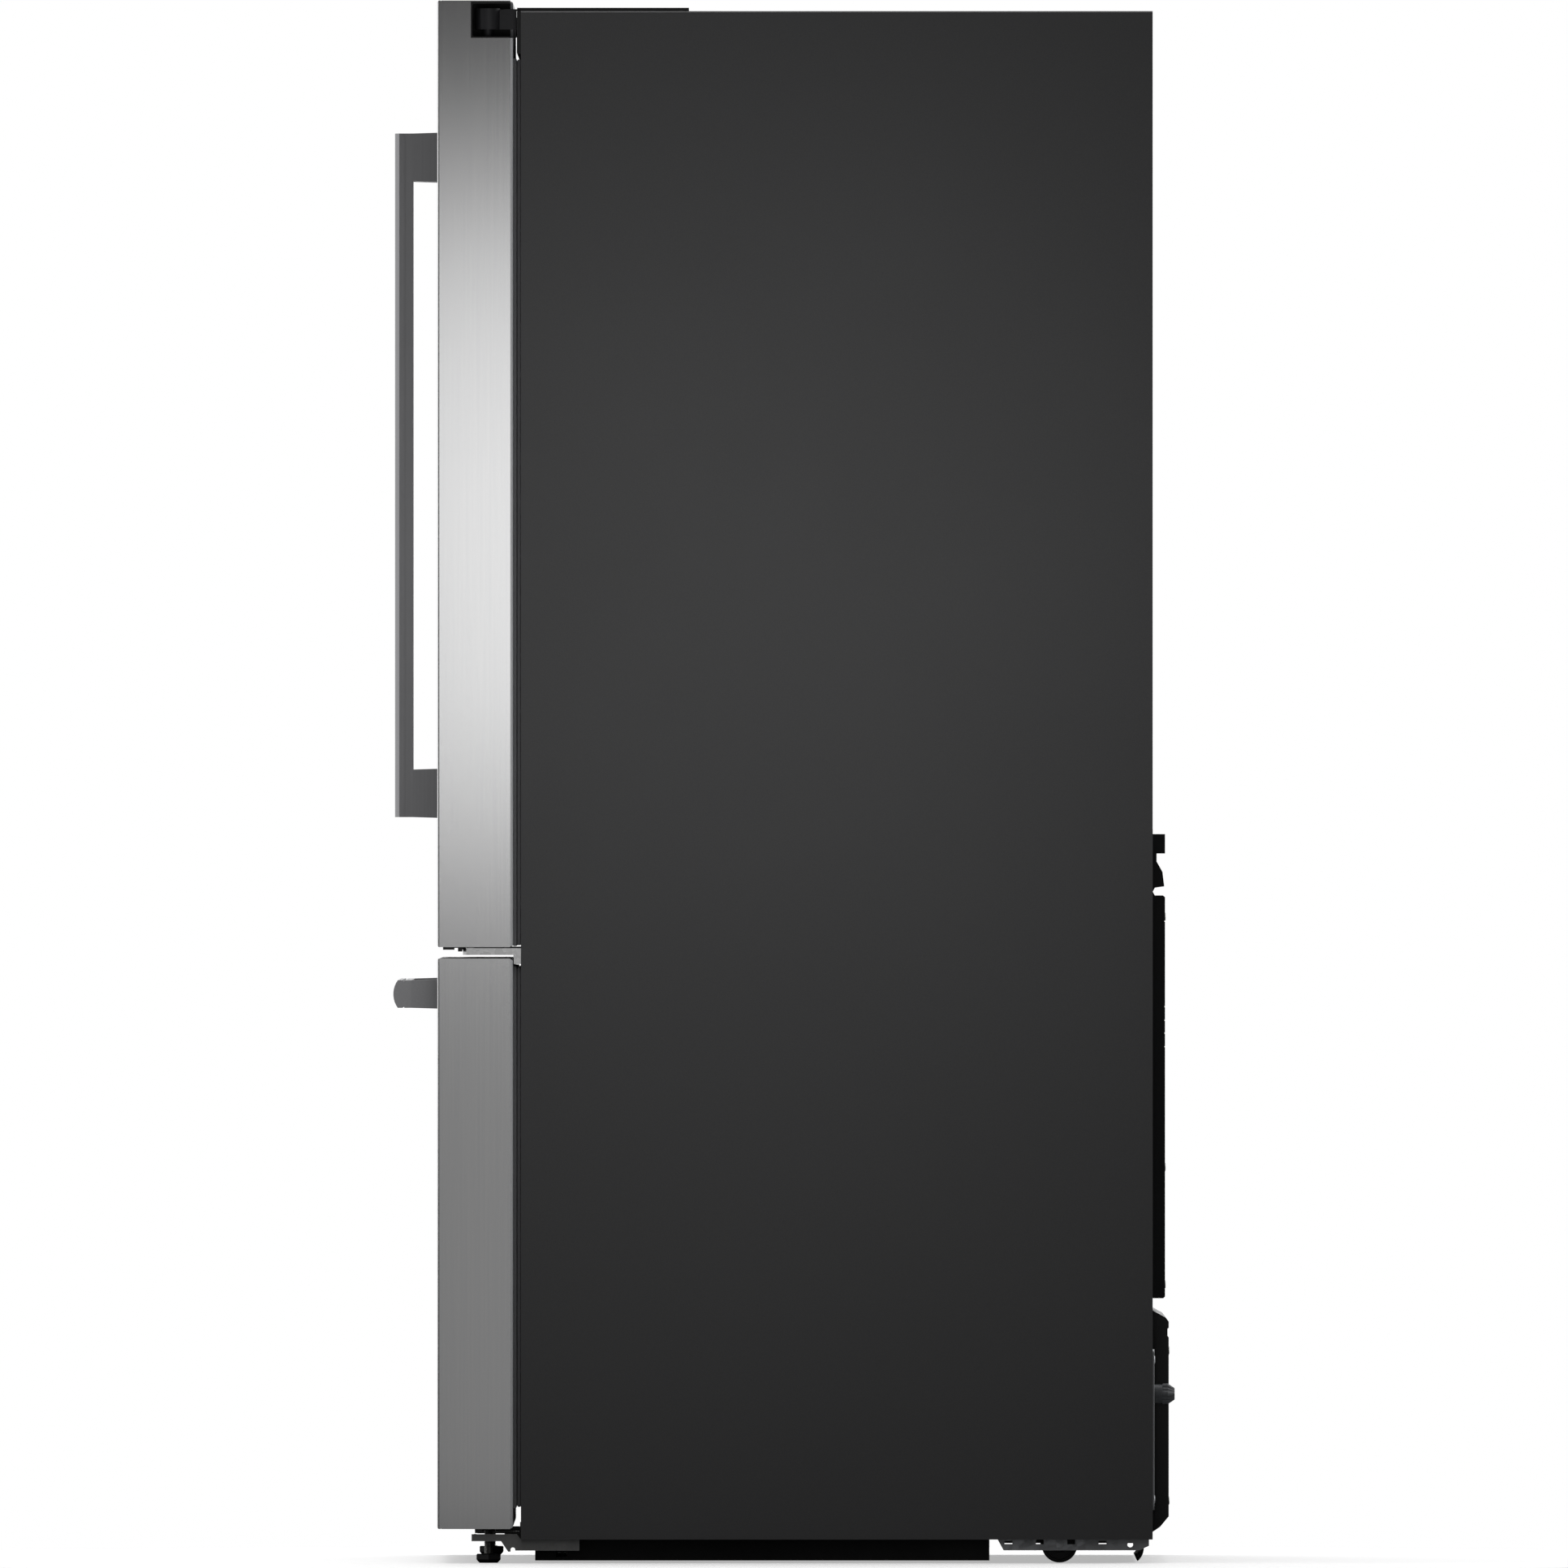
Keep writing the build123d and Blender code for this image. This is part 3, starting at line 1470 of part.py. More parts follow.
with BuildPart() as drawer_basket:
    basket_half = cavity_half - basket_side_gap - rim_sheet
    z_basket = z_freezer_floor + basket_rise
    z_rim = z_slide + inner_half
    y_basket = (y_door_back + drawer_dyke_depth + rim_sheet, y_step - basket_rear_gap)
    block(both(basket_half), y_basket, (z_basket, z_rim + rim_sheet))
    fillet(drawer_basket.edges().filter_by(Axis.Z), tub_corner)
    block(
        both(basket_half - basket_wall),
        (y_basket[0] + basket_wall, y_basket[1] - basket_wall),
        (z_basket + basket_wall, z_rim + rim_sheet + 1),
        Mode.SUBTRACT,
    )
    for side, sign in SIDES:
        block(
            (sign * (basket_half - 1), sign * arm_x[1]),
            (y_basket[0] + rim_end_inset, y_basket[1] - rim_end_inset),
            (z_rim, z_rim + rim_sheet),
        )
save(drawer_basket, "drawer_basket")


# ======================================================================
# The two upper doors
# ======================================================================

door_z = (z_door_bottom, overall_height)
gasket_z = (z_door_bottom + upper_gasket_rise, overall_height - upper_gasket_top_drop)
upper_dyke_z = (z_fresh_floor + dyke_end_clearance, z_fresh_top - dyke_end_clearance)
z_recess = overall_height - recess_height
z_recess_top = overall_height - recess_lip
y_recess = y_hinge - recess_depth + recess_behind_pin
flap_half = flap_width / 2
dyke_centre_gap = flap_half + flap_dyke_gap
z_first_bin = z_fresh_floor + bin_first_rise
bin_pitch = (z_fresh_top - bin_top_room - z_first_bin) / (bin_count - 1)
pivot_x = -(flap_half - flap_pivot_inset)
pivot_y = y_case_front + flap_thickness / 2
flap_z = (z_fresh_floor + flap_end_gap, z_fresh_top - flap_end_gap)
sleeve_end = 2.0
pad_thickness = 0.7
pad_x = (-18.0, 15.0)
pad_y = (-50.7, 19.0)
stop_x = (-2.0, 14.0)
stops = ((-33.7, -28.7, 5.0), (-50.7, -37.7, 3.0))


def pocket_outer(sign, grow, mode):
    """The block of space that the black hinge pocket takes in a door's top corner."""
    block(
        (sign * (hinge_x - recess_side - pocket_wall - grow), sign * (half_width + 2 * grow)),
        (y_recess - pocket_wall - grow, y_shell_back + 10 * grow),
        (z_recess - pocket_wall - grow, overall_height - shell_sheet + grow),
        mode,
    )


for side, sign in SIDES:
    door_x = (sign * centre_gap / 2, sign * half_width)
    x_hinge = sign * hinge_x
    sleeve_radius = pin_radius + sleeve_wall
    z_sleeve = knuckle_bottom - pin_length - sleeve_end
    foot_sleeve = centre_pin_radius + sleeve_wall
    z_foot_sleeve = centre_plate_top + centre_pin_length + sleeve_end

    with BuildPart() as door_shell:
        shell_box(door_x, door_z)
        block(
            (sign * (hinge_x - recess_side - pocket_wall), sign * (half_width + 1)),
            (y_recess - pocket_wall, y_shell_back + 1),
            (z_recess - pocket_wall, overall_height - shell_sheet),
            Mode.SUBTRACT,
        )
        upright(x_hinge, y_hinge, z_door_bottom - 1, foot_sleeve, 2 * shell_sheet + 1, Mode.SUBTRACT)
    save(door_shell, f"door_{side}_shell")

    with BuildPart() as door_core:
        core_block(door_x, door_z)
        pocket_outer(sign, part_gap, Mode.SUBTRACT)
        z_span = z_recess - z_sleeve
        upright(x_hinge, y_hinge, z_sleeve - 1, sleeve_radius + part_gap, z_span, Mode.SUBTRACT)
        z_span = z_foot_sleeve - z_door_bottom + 1
        upright(x_hinge, y_hinge, z_door_bottom, foot_sleeve + part_gap, z_span, Mode.SUBTRACT)
    save(door_core, f"door_{side}_core")

    with BuildPart() as end_caps:
        # Top: the pocket around the hinge knuckle, with the sleeve for its pin.
        block(
            (sign * (hinge_x - recess_side - pocket_wall), sign * (half_width - part_gap)),
            (y_recess - pocket_wall, y_shell_back),
            (z_recess - pocket_wall, overall_height - shell_sheet),
        )
        x_low = min(sign * (hinge_x - recess_side), sign * (half_width + 1))
        with BuildSketch(side_plane(x_low)):
            pocket_length = 2 * (y_shell_back - y_recess)
            with Locations((y_recess + pocket_length / 2, (z_recess + z_recess_top) / 2)):
                RectangleRounded(pocket_length, z_recess_top - z_recess, recess_corner)
        extrude(amount=half_width + 1 - hinge_x + recess_side, mode=Mode.SUBTRACT)
        upright(x_hinge, y_hinge, z_sleeve, sleeve_radius, z_recess - z_sleeve)
        z_span = z_recess - z_sleeve + 2
        upright(x_hinge, y_hinge, z_sleeve - 1, pin_radius + pin_clearance, z_span, Mode.SUBTRACT)
        # Bottom: the sleeve on the centre hinge pin, its pad, and the stop under the door.
        z_pad = z_door_bottom - pad_thickness
        block(
            (x_hinge + sign * pad_x[0], x_hinge + sign * pad_x[1]),
            (y_hinge + pad_y[0], y_hinge + pad_y[1]),
            (z_pad, z_door_bottom),
        )
        upright(x_hinge, y_hinge, z_pad, foot_sleeve, z_foot_sleeve - z_pad)
        upright(
            x_hinge,
            y_hinge,
            z_door_bottom - 1,
            centre_pin_radius + pin_clearance,
            z_foot_sleeve - z_door_bottom,
            Mode.SUBTRACT,
        )
        for y_near, y_far, drop in stops:
            block(
                (x_hinge + sign * stop_x[0], x_hinge + sign * stop_x[1]),
                (y_hinge + y_near, y_hinge + y_far),
                (z_door_bottom - drop, z_door_bottom),
            )
    save(end_caps, f"door_{side}_end_caps")

    with BuildPart() as door_liner:
        dyke_x = (sign * dyke_centre_gap, sign * dyke_half)
        liner_plate(door_x, door_z, dyke_x, upper_dyke_z, dyke_depth)
        block(
            (sign * (hinge_x - recess_side - pocket_wall - part_gap), sign * half_width),
            (y_shell_back - 1, y_door_back + 1),
            (z_recess - pocket_wall, overall_height),
            Mode.SUBTRACT,
        )
        if side == "left":
            # Ears above and below the flap carry its two pins.
            ears = ((flap_z[1] + ear_gap, -1), (flap_z[0] - ear_gap - ear_thickness, 1))
            for z_ear, toward in ears:
                z_range = (z_ear, z_ear + ear_thickness)
                y_bend = y_case_front + ear_gap
                block((-dyke_centre_gap, -flap_half - ear_gap), (y_door_back - 1, y_bend), z_range)
                block((-dyke_centre_gap, pivot_x + ear_margin), (y_bend, pivot_y + ear_margin), z_range)
                z_pin = z_ear + ear_thickness / 2 + toward * flap_pin_length / 2
                with Locations((pivot_x, pivot_y, z_pin)):
                    Cylinder(flap_pin_radius, flap_pin_length)
    save(door_liner, f"door_{side}_liner")

    with BuildPart() as door_gasket:
        gasket_x = (sign * (centre_gap / 2 + gasket_centre_inset), sign * (half_width - gasket_side_inset))
        gasket_ring(gasket_x, gasket_z)
    save(door_gasket, f"door_{side}_gasket")

    with BuildPart() as door_handle:
        x_handle = sign * handle_from_centre
        z_low, z_high = z_door_bottom + door_handle_margin, overall_height - door_handle_margin
        with BuildSketch(Plane.XY.offset(z_low)):
            handle_profile(x_handle, "x")
        extrude(amount=z_high - z_low)
        for z_post in (z_low + handle_post_height / 2, z_high - handle_post_height / 2):
            for y, grow in ((y_door_front, handle_post_flare), (y_handle_front + handle_bar_depth, 0)):
                with BuildSketch(front_plane(y)):
                    with Locations((x_handle, z_post)):
                        Rectangle(handle_bar_width + 2 * grow, handle_post_height + 2 * grow)
            loft()
    save(door_handle, f"door_{side}_handle")

    with BuildPart() as door_bins:
        x_low, x_high = dyke_centre_gap + dyke_width + part_gap, dyke_half - dyke_width - part_gap
        middle = (sign * (x_low + x_high) / 2, y_door_back + part_gap + bin_depth / 2)
        for i in range(bin_count):
            z_bin = z_first_bin + i * bin_pitch
            with BuildSketch(Plane.XY.offset(z_bin)):
                with Locations(middle):
                    RectangleRounded(x_high - x_low, bin_depth, bin_radius)
            extrude(amount=bin_height)
            with BuildSketch(Plane.XY.offset(z_bin + bin_wall)):
                with Locations(middle):
                    RectangleRounded(
                        x_high - x_low - 2 * bin_wall, bin_depth - 2 * bin_wall, bin_radius - bin_wall
                    )
            extrude(amount=bin_height, mode=Mode.SUBTRACT)
    save(door_bins, f"door_{side}_bins")


# ======================================================================
# Centre flap
# ======================================================================

with BuildPart() as mullion_flap:
    block(both(flap_half), (y_case_front, y_case_front + flap_thickness), flap_z)
    fillet(mullion_flap.edges().filter_by(Axis.Z), flap_edge_radius)
    for z in flap_z:
        with Locations((pivot_x, pivot_y, z)):
            Cylinder(flap_pin_radius + pin_clearance, 2 * (flap_pin_length - 1), mode=Mode.SUBTRACT)
save(mullion_flap, "mullion_flap")


# ======================================================================
# Rollers and levelling feet
# ======================================================================

for side, sign in SIDES:
    roller_plane = Plane(origin=(sign * rail_x, y_roller, roller_radius), x_dir=(0, 1, 0), z_dir=(1, 0, 0))
    with BuildPart(roller_plane) as roller:
        Cylinder(roller_radius, roller_width)
        fillet(roller.edges().filter_by(GeomType.CIRCLE), roller_edge_radius)
        Cylinder(axle_radius + 2 * axle_clearance, 2 * roller_width, mode=Mode.SUBTRACT)
    save(roller, f"roller_{side}")

    with BuildPart() as foot:
        with BuildSketch(Plane.XY):
            with Locations((sign * foot_x, y_foot)):
                RegularPolygon(foot_pad_radius, 6)
        extrude(amount=foot_pad_height)
        chamfer(foot.faces().sort_by(Axis.Z)[0].edges(), foot_pad_chamfer)
        stem_top = drawer_clearance - foot_stem_drop
        upright(sign * foot_x, y_foot, foot_pad_height, foot_stem_radius, stem_top - foot_pad_height)
    save(foot, f"foot_{side}")
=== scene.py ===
"""French door refrigerator: the visible finish of every piece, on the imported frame."""

from __future__ import annotations

import json
import logging
import math
from dataclasses import dataclass, field
from enum import Enum
from typing import Callable, Iterable, Sequence, Union

import bmesh
import bpy
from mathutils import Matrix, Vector

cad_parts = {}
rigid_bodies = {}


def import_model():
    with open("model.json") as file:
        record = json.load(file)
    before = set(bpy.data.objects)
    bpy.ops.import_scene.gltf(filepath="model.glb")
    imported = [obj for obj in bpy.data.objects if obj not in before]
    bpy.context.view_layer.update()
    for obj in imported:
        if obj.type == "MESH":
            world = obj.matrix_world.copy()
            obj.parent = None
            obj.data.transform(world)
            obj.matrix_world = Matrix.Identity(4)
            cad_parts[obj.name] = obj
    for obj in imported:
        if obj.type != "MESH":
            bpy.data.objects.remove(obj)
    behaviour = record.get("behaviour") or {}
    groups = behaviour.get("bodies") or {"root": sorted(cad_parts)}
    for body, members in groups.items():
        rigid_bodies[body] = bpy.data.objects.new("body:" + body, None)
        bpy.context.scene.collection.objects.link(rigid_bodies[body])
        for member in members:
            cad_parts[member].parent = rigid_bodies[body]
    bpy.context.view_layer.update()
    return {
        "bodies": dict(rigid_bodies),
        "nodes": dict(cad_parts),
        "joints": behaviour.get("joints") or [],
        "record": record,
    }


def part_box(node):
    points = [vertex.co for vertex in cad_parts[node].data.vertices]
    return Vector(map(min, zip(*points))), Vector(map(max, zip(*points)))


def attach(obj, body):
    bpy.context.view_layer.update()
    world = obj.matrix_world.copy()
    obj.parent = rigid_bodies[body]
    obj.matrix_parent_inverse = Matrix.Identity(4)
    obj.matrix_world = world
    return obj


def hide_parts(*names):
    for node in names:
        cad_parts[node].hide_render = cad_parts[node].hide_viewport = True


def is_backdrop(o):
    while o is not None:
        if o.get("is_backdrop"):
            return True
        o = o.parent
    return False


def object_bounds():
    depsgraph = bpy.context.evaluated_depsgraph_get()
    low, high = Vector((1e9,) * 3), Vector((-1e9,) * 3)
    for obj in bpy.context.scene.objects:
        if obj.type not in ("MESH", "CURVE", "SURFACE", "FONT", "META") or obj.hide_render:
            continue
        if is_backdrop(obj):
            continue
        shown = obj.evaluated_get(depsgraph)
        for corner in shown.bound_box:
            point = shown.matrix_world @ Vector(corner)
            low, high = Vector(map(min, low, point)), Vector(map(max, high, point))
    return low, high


log = logging.getLogger("refrigerator")

MM = 0.001
SIDES = {"right": 1, "left": -1}
Range = tuple[float, float]
Colour = tuple[float, float, float]
Radius = Union[float, Callable[[float], float]]


# ======================================================================
# Forms: rings stacked into closed skins
# ======================================================================


class Facing(Enum):
    """The axis that a form is stacked along. The value holds the places of u, v and w in x, y, z."""

    X = (1, 2, 0)
    Y = (0, 2, 1)
    Z = (0, 1, 2)

    def point(self, u: float, v: float, w: float) -> Vector:
        """The point at u and v across the form and w along it."""
        place = [0.0, 0.0, 0.0]
        for index, value in zip(self.value, (u, v, w)):
            place[index] = value
        return Vector(place)


def rounded_ring(facing: Facing, u: Range, v: Range, w: float, corner: float, steps: int = 5) -> list[Vector]:
    """A rectangle with round corners.

    Args:
        facing: the axis that the ring faces.
        u: low and high limits across.
        v: low and high limits up.
        w: the ring's place along the axis.
        corner: corner radius.
        steps: segments in each corner.

    Returns:
        The ring's points in order.
    """
    most = min(u[1] - u[0], v[1] - v[0]) / 2 - 0.01 * MM
    radius = max(min(corner, most), 0.01 * MM)
    centres = (
        (u[1] - radius, v[1] - radius),
        (u[0] + radius, v[1] - radius),
        (u[0] + radius, v[0] + radius),
        (u[1] - radius, v[0] + radius),
    )
    points = []
    for quarter, (cu, cv) in enumerate(centres):
        for step in range(steps + 1):
            angle = math.radians(90 * (quarter + step / steps))
            points.append(facing.point(cu + radius * math.cos(angle), cv + radius * math.sin(angle), w))
    return points


def round_ring(facing: Facing, centre: Range, w: float, radius: Radius, steps: int = 32) -> list[Vector]:
    """A circle, or a closed curve whose radius is a function of the angle.

    Args:
        facing: the axis that the ring faces.
        centre: u and v of the middle.
        w: the ring's place along the axis.
        radius: the radius, or a function that gives it for an angle in radians.
        steps: points in the ring.

    Returns:
        The ring's points in order.
    """
    points = []
    for step in range(steps):
        angle = 2 * math.pi * step / steps
        reach = radius(angle) if callable(radius) else radius
        points.append(
            facing.point(centre[0] + reach * math.cos(angle), centre[1] + reach * math.sin(angle), w)
        )
    return points


def loft(form: bmesh.types.BMesh, rings: Sequence[list[Vector]], closed: bool = False) -> None:
    """Join rings of equal length into a skin.

    Args:
        form: the mesh that takes the skin.
        rings: the rings in order.
        closed: True joins the last ring to the first; otherwise both ends are capped.
    """
    rows = [[form.verts.new(point) for point in ring] for ring in rings]
    pairs = list(zip(rows, rows[1:])) + ([(rows[-1], rows[0])] if closed else [])
    for near, far in pairs:
        for index in range(len(near)):
            following = (index + 1) % len(near)
            form.faces.new((near[index], near[following], far[following], far[index]))
    if not closed:
        form.faces.new(list(reversed(rows[0])))
        form.faces.new(rows[-1])


def pillow(
    form: bmesh.types.BMesh,
    facing: Facing,
    u: Range,
    v: Range,
    w: Range,
    corner: float,
    edge: float,
    steps: int = 3,
) -> None:
    """Add a block with round corners and eased edges.

    Args:
        form: the mesh that takes the block.
        facing: the axis that its two flat faces look along.
        u: limits across.
        v: limits up.
        w: limits along the axis.
        corner: radius of the four corners.
        edge: radius of the edges round both flat faces.
        steps: segments in each eased edge.
    """
    u, v, w = (tuple(sorted(limits)) for limits in (u, v, w))
    levels = []
    for step in range(steps + 1):
        angle = math.radians(90 * step / steps)
        levels.append((edge * (1 - math.sin(angle)), edge * (1 - math.cos(angle))))
    rings = []
    for inset, rise in levels:
        rings.append(_inset_ring(facing, u, v, w[0] + rise, corner, inset))
    for inset, rise in reversed(levels):
        rings.append(_inset_ring(facing, u, v, w[1] - rise, corner, inset))
    loft(form, rings)


def _inset_ring(facing: Facing, u: Range, v: Range, w: float, corner: float, inset: float) -> list[Vector]:
    """A rounded ring drawn in from its limits by an inset."""
    return rounded_ring(
        facing, (u[0] + inset, u[1] - inset), (v[0] + inset, v[1] - inset), w, corner - inset
    )


def turned(
    form: bmesh.types.BMesh,
    facing: Facing,
    centre: Range,
    profile: Sequence[tuple[Radius, float]],
    steps: int = 32,
) -> None:
    """Add a turned form.

    Args:
        form: the mesh that takes the form.
        facing: the axis that it turns about.
        centre: u and v of the axis.
        profile: radius and place along the axis, in order.
        steps: points in each ring.
    """
    loft(form, [round_ring(facing, centre, w, radius, steps) for radius, w in profile])


def tub(
    form: bmesh.types.BMesh,
    x: Range,
    y: Range,
    z: Range,
    corner: float,
    wall: float,
    draft: float,
    lip: float,
) -> None:
    """Add an open tub with drafted walls, a turned-out lip and a round inner floor.

    Args:
        form: the mesh that takes the tub.
        x: limits across, over the lip.
        y: limits front to back, over the lip.
        z: floor and lip levels.
        corner: radius of the upright corners.
        wall: wall thickness.
        draft: how far the walls lean in towards the floor.
        lip: how far the lip stands out from the wall.
    """
    foot, lip_height = 5 * MM, 7 * MM
    bottom = lip + draft
    levels = (
        (bottom + foot, z[0]),
        (bottom + 0.3 * foot, z[0] + 0.3 * foot),
        (bottom, z[0] + foot),
        (lip, z[1] - lip_height - lip),
        (0.2 * lip, z[1] - lip_height),
        (0.0, z[1] - lip_height + 0.6 * MM),
        (0.0, z[1] - 0.8 * MM),
        (0.8 * MM, z[1]),
        (lip + wall - 0.6 * MM, z[1]),
        (lip + wall, z[1] - 0.8 * MM),
        (bottom + wall, z[0] + wall + foot),
        (bottom + wall + 0.3 * foot, z[0] + wall + 0.3 * foot),
        (bottom + wall + foot, z[0] + wall),
    )
    loft(form, [_inset_ring(Facing.Z, x, y, level, corner, inset) for inset, level in levels])


def framed(form: bmesh.types.BMesh, x: Range, z: Range, section: Sequence[tuple[float, float]]) -> None:
    """Sweep a closed section round an upright rectangle with mitred corners.

    Args:
        form: the mesh that takes the frame.
        x: outer limits across.
        z: outer limits up.
        section: points as distance in from the outer edge, and y.
    """
    corners = ((0, 0), (1, 0), (1, 1), (0, 1))
    rings = []
    for right, upper in corners:
        ring = []
        for inset, y in section:
            px = x[1] - inset if right else x[0] + inset
            pz = z[1] - inset if upper else z[0] + inset
            ring.append(Vector((px, y, pz)))
        rings.append(ring)
    loft(form, rings, closed=True)


def pressed_sheet(
    form: bmesh.types.BMesh,
    across: Sequence[float],
    up: Sequence[float],
    face: float,
    thickness: float,
    dip: Callable[[float, float], float],
) -> None:
    """Add an upright sheet facing the back, pressed in by a depth that varies over it.

    Args:
        form: the mesh that takes the sheet.
        across: the places of its columns.
        up: the levels of its rows.
        face: y of the flat outer face.
        thickness: sheet thickness.
        dip: how far the face is pressed in at x and z.
    """
    skins = []
    for depth in (0.0, thickness):
        skins.append(
            [[form.verts.new((x, face - depth - dip(x, z), z)) for x in across] for z in up]
        )
    for skin in skins:
        for low, high in zip(skin, skin[1:]):
            for index in range(len(across) - 1):
                form.faces.new((low[index], low[index + 1], high[index + 1], high[index]))
    edges = []
    for skin in skins:
        left, right = [row[0] for row in skin], [row[-1] for row in skin]
        edges.append(skin[0] + right[1:] + list(reversed(skin[-1]))[1:] + list(reversed(left))[1:-1])
    outer, inner = edges
    for index in range(len(outer)):
        following = (index + 1) % len(outer)
        form.faces.new((outer[index], outer[following], inner[following], inner[index]))


def screw_head(
    form: bmesh.types.BMesh,
    facing: Facing,
    centre: Range,
    base: float,
    radius: float,
    height: float,
) -> None:
    """Add a pan-head screw with a four-lobed recess.

    Args:
        form: the mesh that takes the screw.
        facing: the axis of the screw.
        centre: u and v of the axis.
        base: where the head's seat is along the axis.
        radius: head radius.
        height: how far the head stands above its seat.
    """

    def lobed(angle: float) -> float:
        """The radius of the recess at an angle."""
        return radius * (0.3 + 0.16 * math.cos(4 * angle))

    turned(
        form,
        facing,
        centre,
        (
            (radius, base),
            (radius, base + 0.35 * height),
            (0.9 * radius, base + 0.75 * height),
            (0.62 * radius, base + height),
            (lobed, base + height),
            (lambda angle: 0.7 * lobed(angle), base + 0.35 * height),
        ),
        24,
    )


def hexagon(across: float) -> Callable[[float], float]:
    """The radius of a hexagon of that half width over flats, as a function of the angle."""
    sixth = math.pi / 3
    return lambda angle: across / math.cos((angle % sixth) - sixth / 2)


def tube(name: str, points: Sequence[Vector], radius: float) -> bpy.types.Object:
    """A smooth bent pipe along a route.

    Args:
        name: the piece's name.
        points: the route's control points.
        radius: the pipe's radius.

    Returns:
        The pipe as a curve object, not yet on a body.
    """
    curve = bpy.data.curves.new(name, "CURVE")
    curve.dimensions = "3D"
    curve.bevel_depth = radius
    curve.bevel_resolution = 4
    curve.use_fill_caps = True
    spline = curve.splines.new("NURBS")
    spline.points.add(len(points) - 1)
    for spot, point in zip(spline.points, points):
        spot.co = (*point, 1.0)
    spline.order_u = 3
    spline.use_endpoint_u = True
    pipe = bpy.data.objects.new(name, curve)
    bpy.context.scene.collection.objects.link(pipe)
    return pipe


# ======================================================================
# Shader wiring and the shared effects
# ======================================================================


def linear(colour: Colour) -> tuple[float, float, float, float]:
    """A display colour, 0 to 255, as the shader's linear values."""
    shares = [part / 255 for part in colour]
    return (*[s / 12.92 if s <= 0.04045 else ((s + 0.055) / 1.055) ** 2.4 for s in shares], 1.0)


class Wiring:
    """A node tree being wired."""

    def __init__(self, tree: bpy.types.NodeTree) -> None:
        """Start on a tree with nothing in it."""
        self.tree = tree
        tree.nodes.clear()

    def node(self, kind: str, settings: dict[str, object] | None = None, **sockets: object) -> bpy.types.Node:
        """Make a node.

        Args:
            kind: the node's type, without its ShaderNode prefix.
            settings: properties of the node.
            **sockets: inputs by name with _ for a space, or in0, in1 by place. An output is linked.

        Returns:
            The new node.
        """
        made = self.tree.nodes.new("ShaderNode" + kind)
        for key, value in (settings or {}).items():
            setattr(made, key, value)
        for key, value in sockets.items():
            by_place = key.startswith("in") and key[2:].isdigit()
            socket = made.inputs[int(key[2:]) if by_place else key.replace("_", " ")]
            if isinstance(value, bpy.types.NodeSocket):
                self.tree.links.new(value, socket)
            else:
                socket.default_value = value
        return made

    def effect(self, effect: "Effect", **sockets: object) -> bpy.types.Node:
        """Place one of the shared effects and set its inputs."""
        placed = self.node("Group", {"node_tree": effect.tree()})
        for key, value in sockets.items():
            placed.inputs[key.replace("_", " ")].default_value = value
        return placed

    def blend(self, share: bpy.types.NodeSocket, low: object, high: object) -> bpy.types.NodeSocket:
        """Mix two colours by a mask and return the colour output."""
        mix = self.node("Mix", {"data_type": "RGBA"}, in0=share, in6=low, in7=high)
        return mix.outputs[2]

    def scaled(self, value: bpy.types.NodeSocket, low: float, high: float) -> bpy.types.NodeSocket:
        """Map a mask from 0..1 to low..high."""
        return self.node("MapRange", None, Value=value, To_Min=low, To_Max=high).outputs[0]


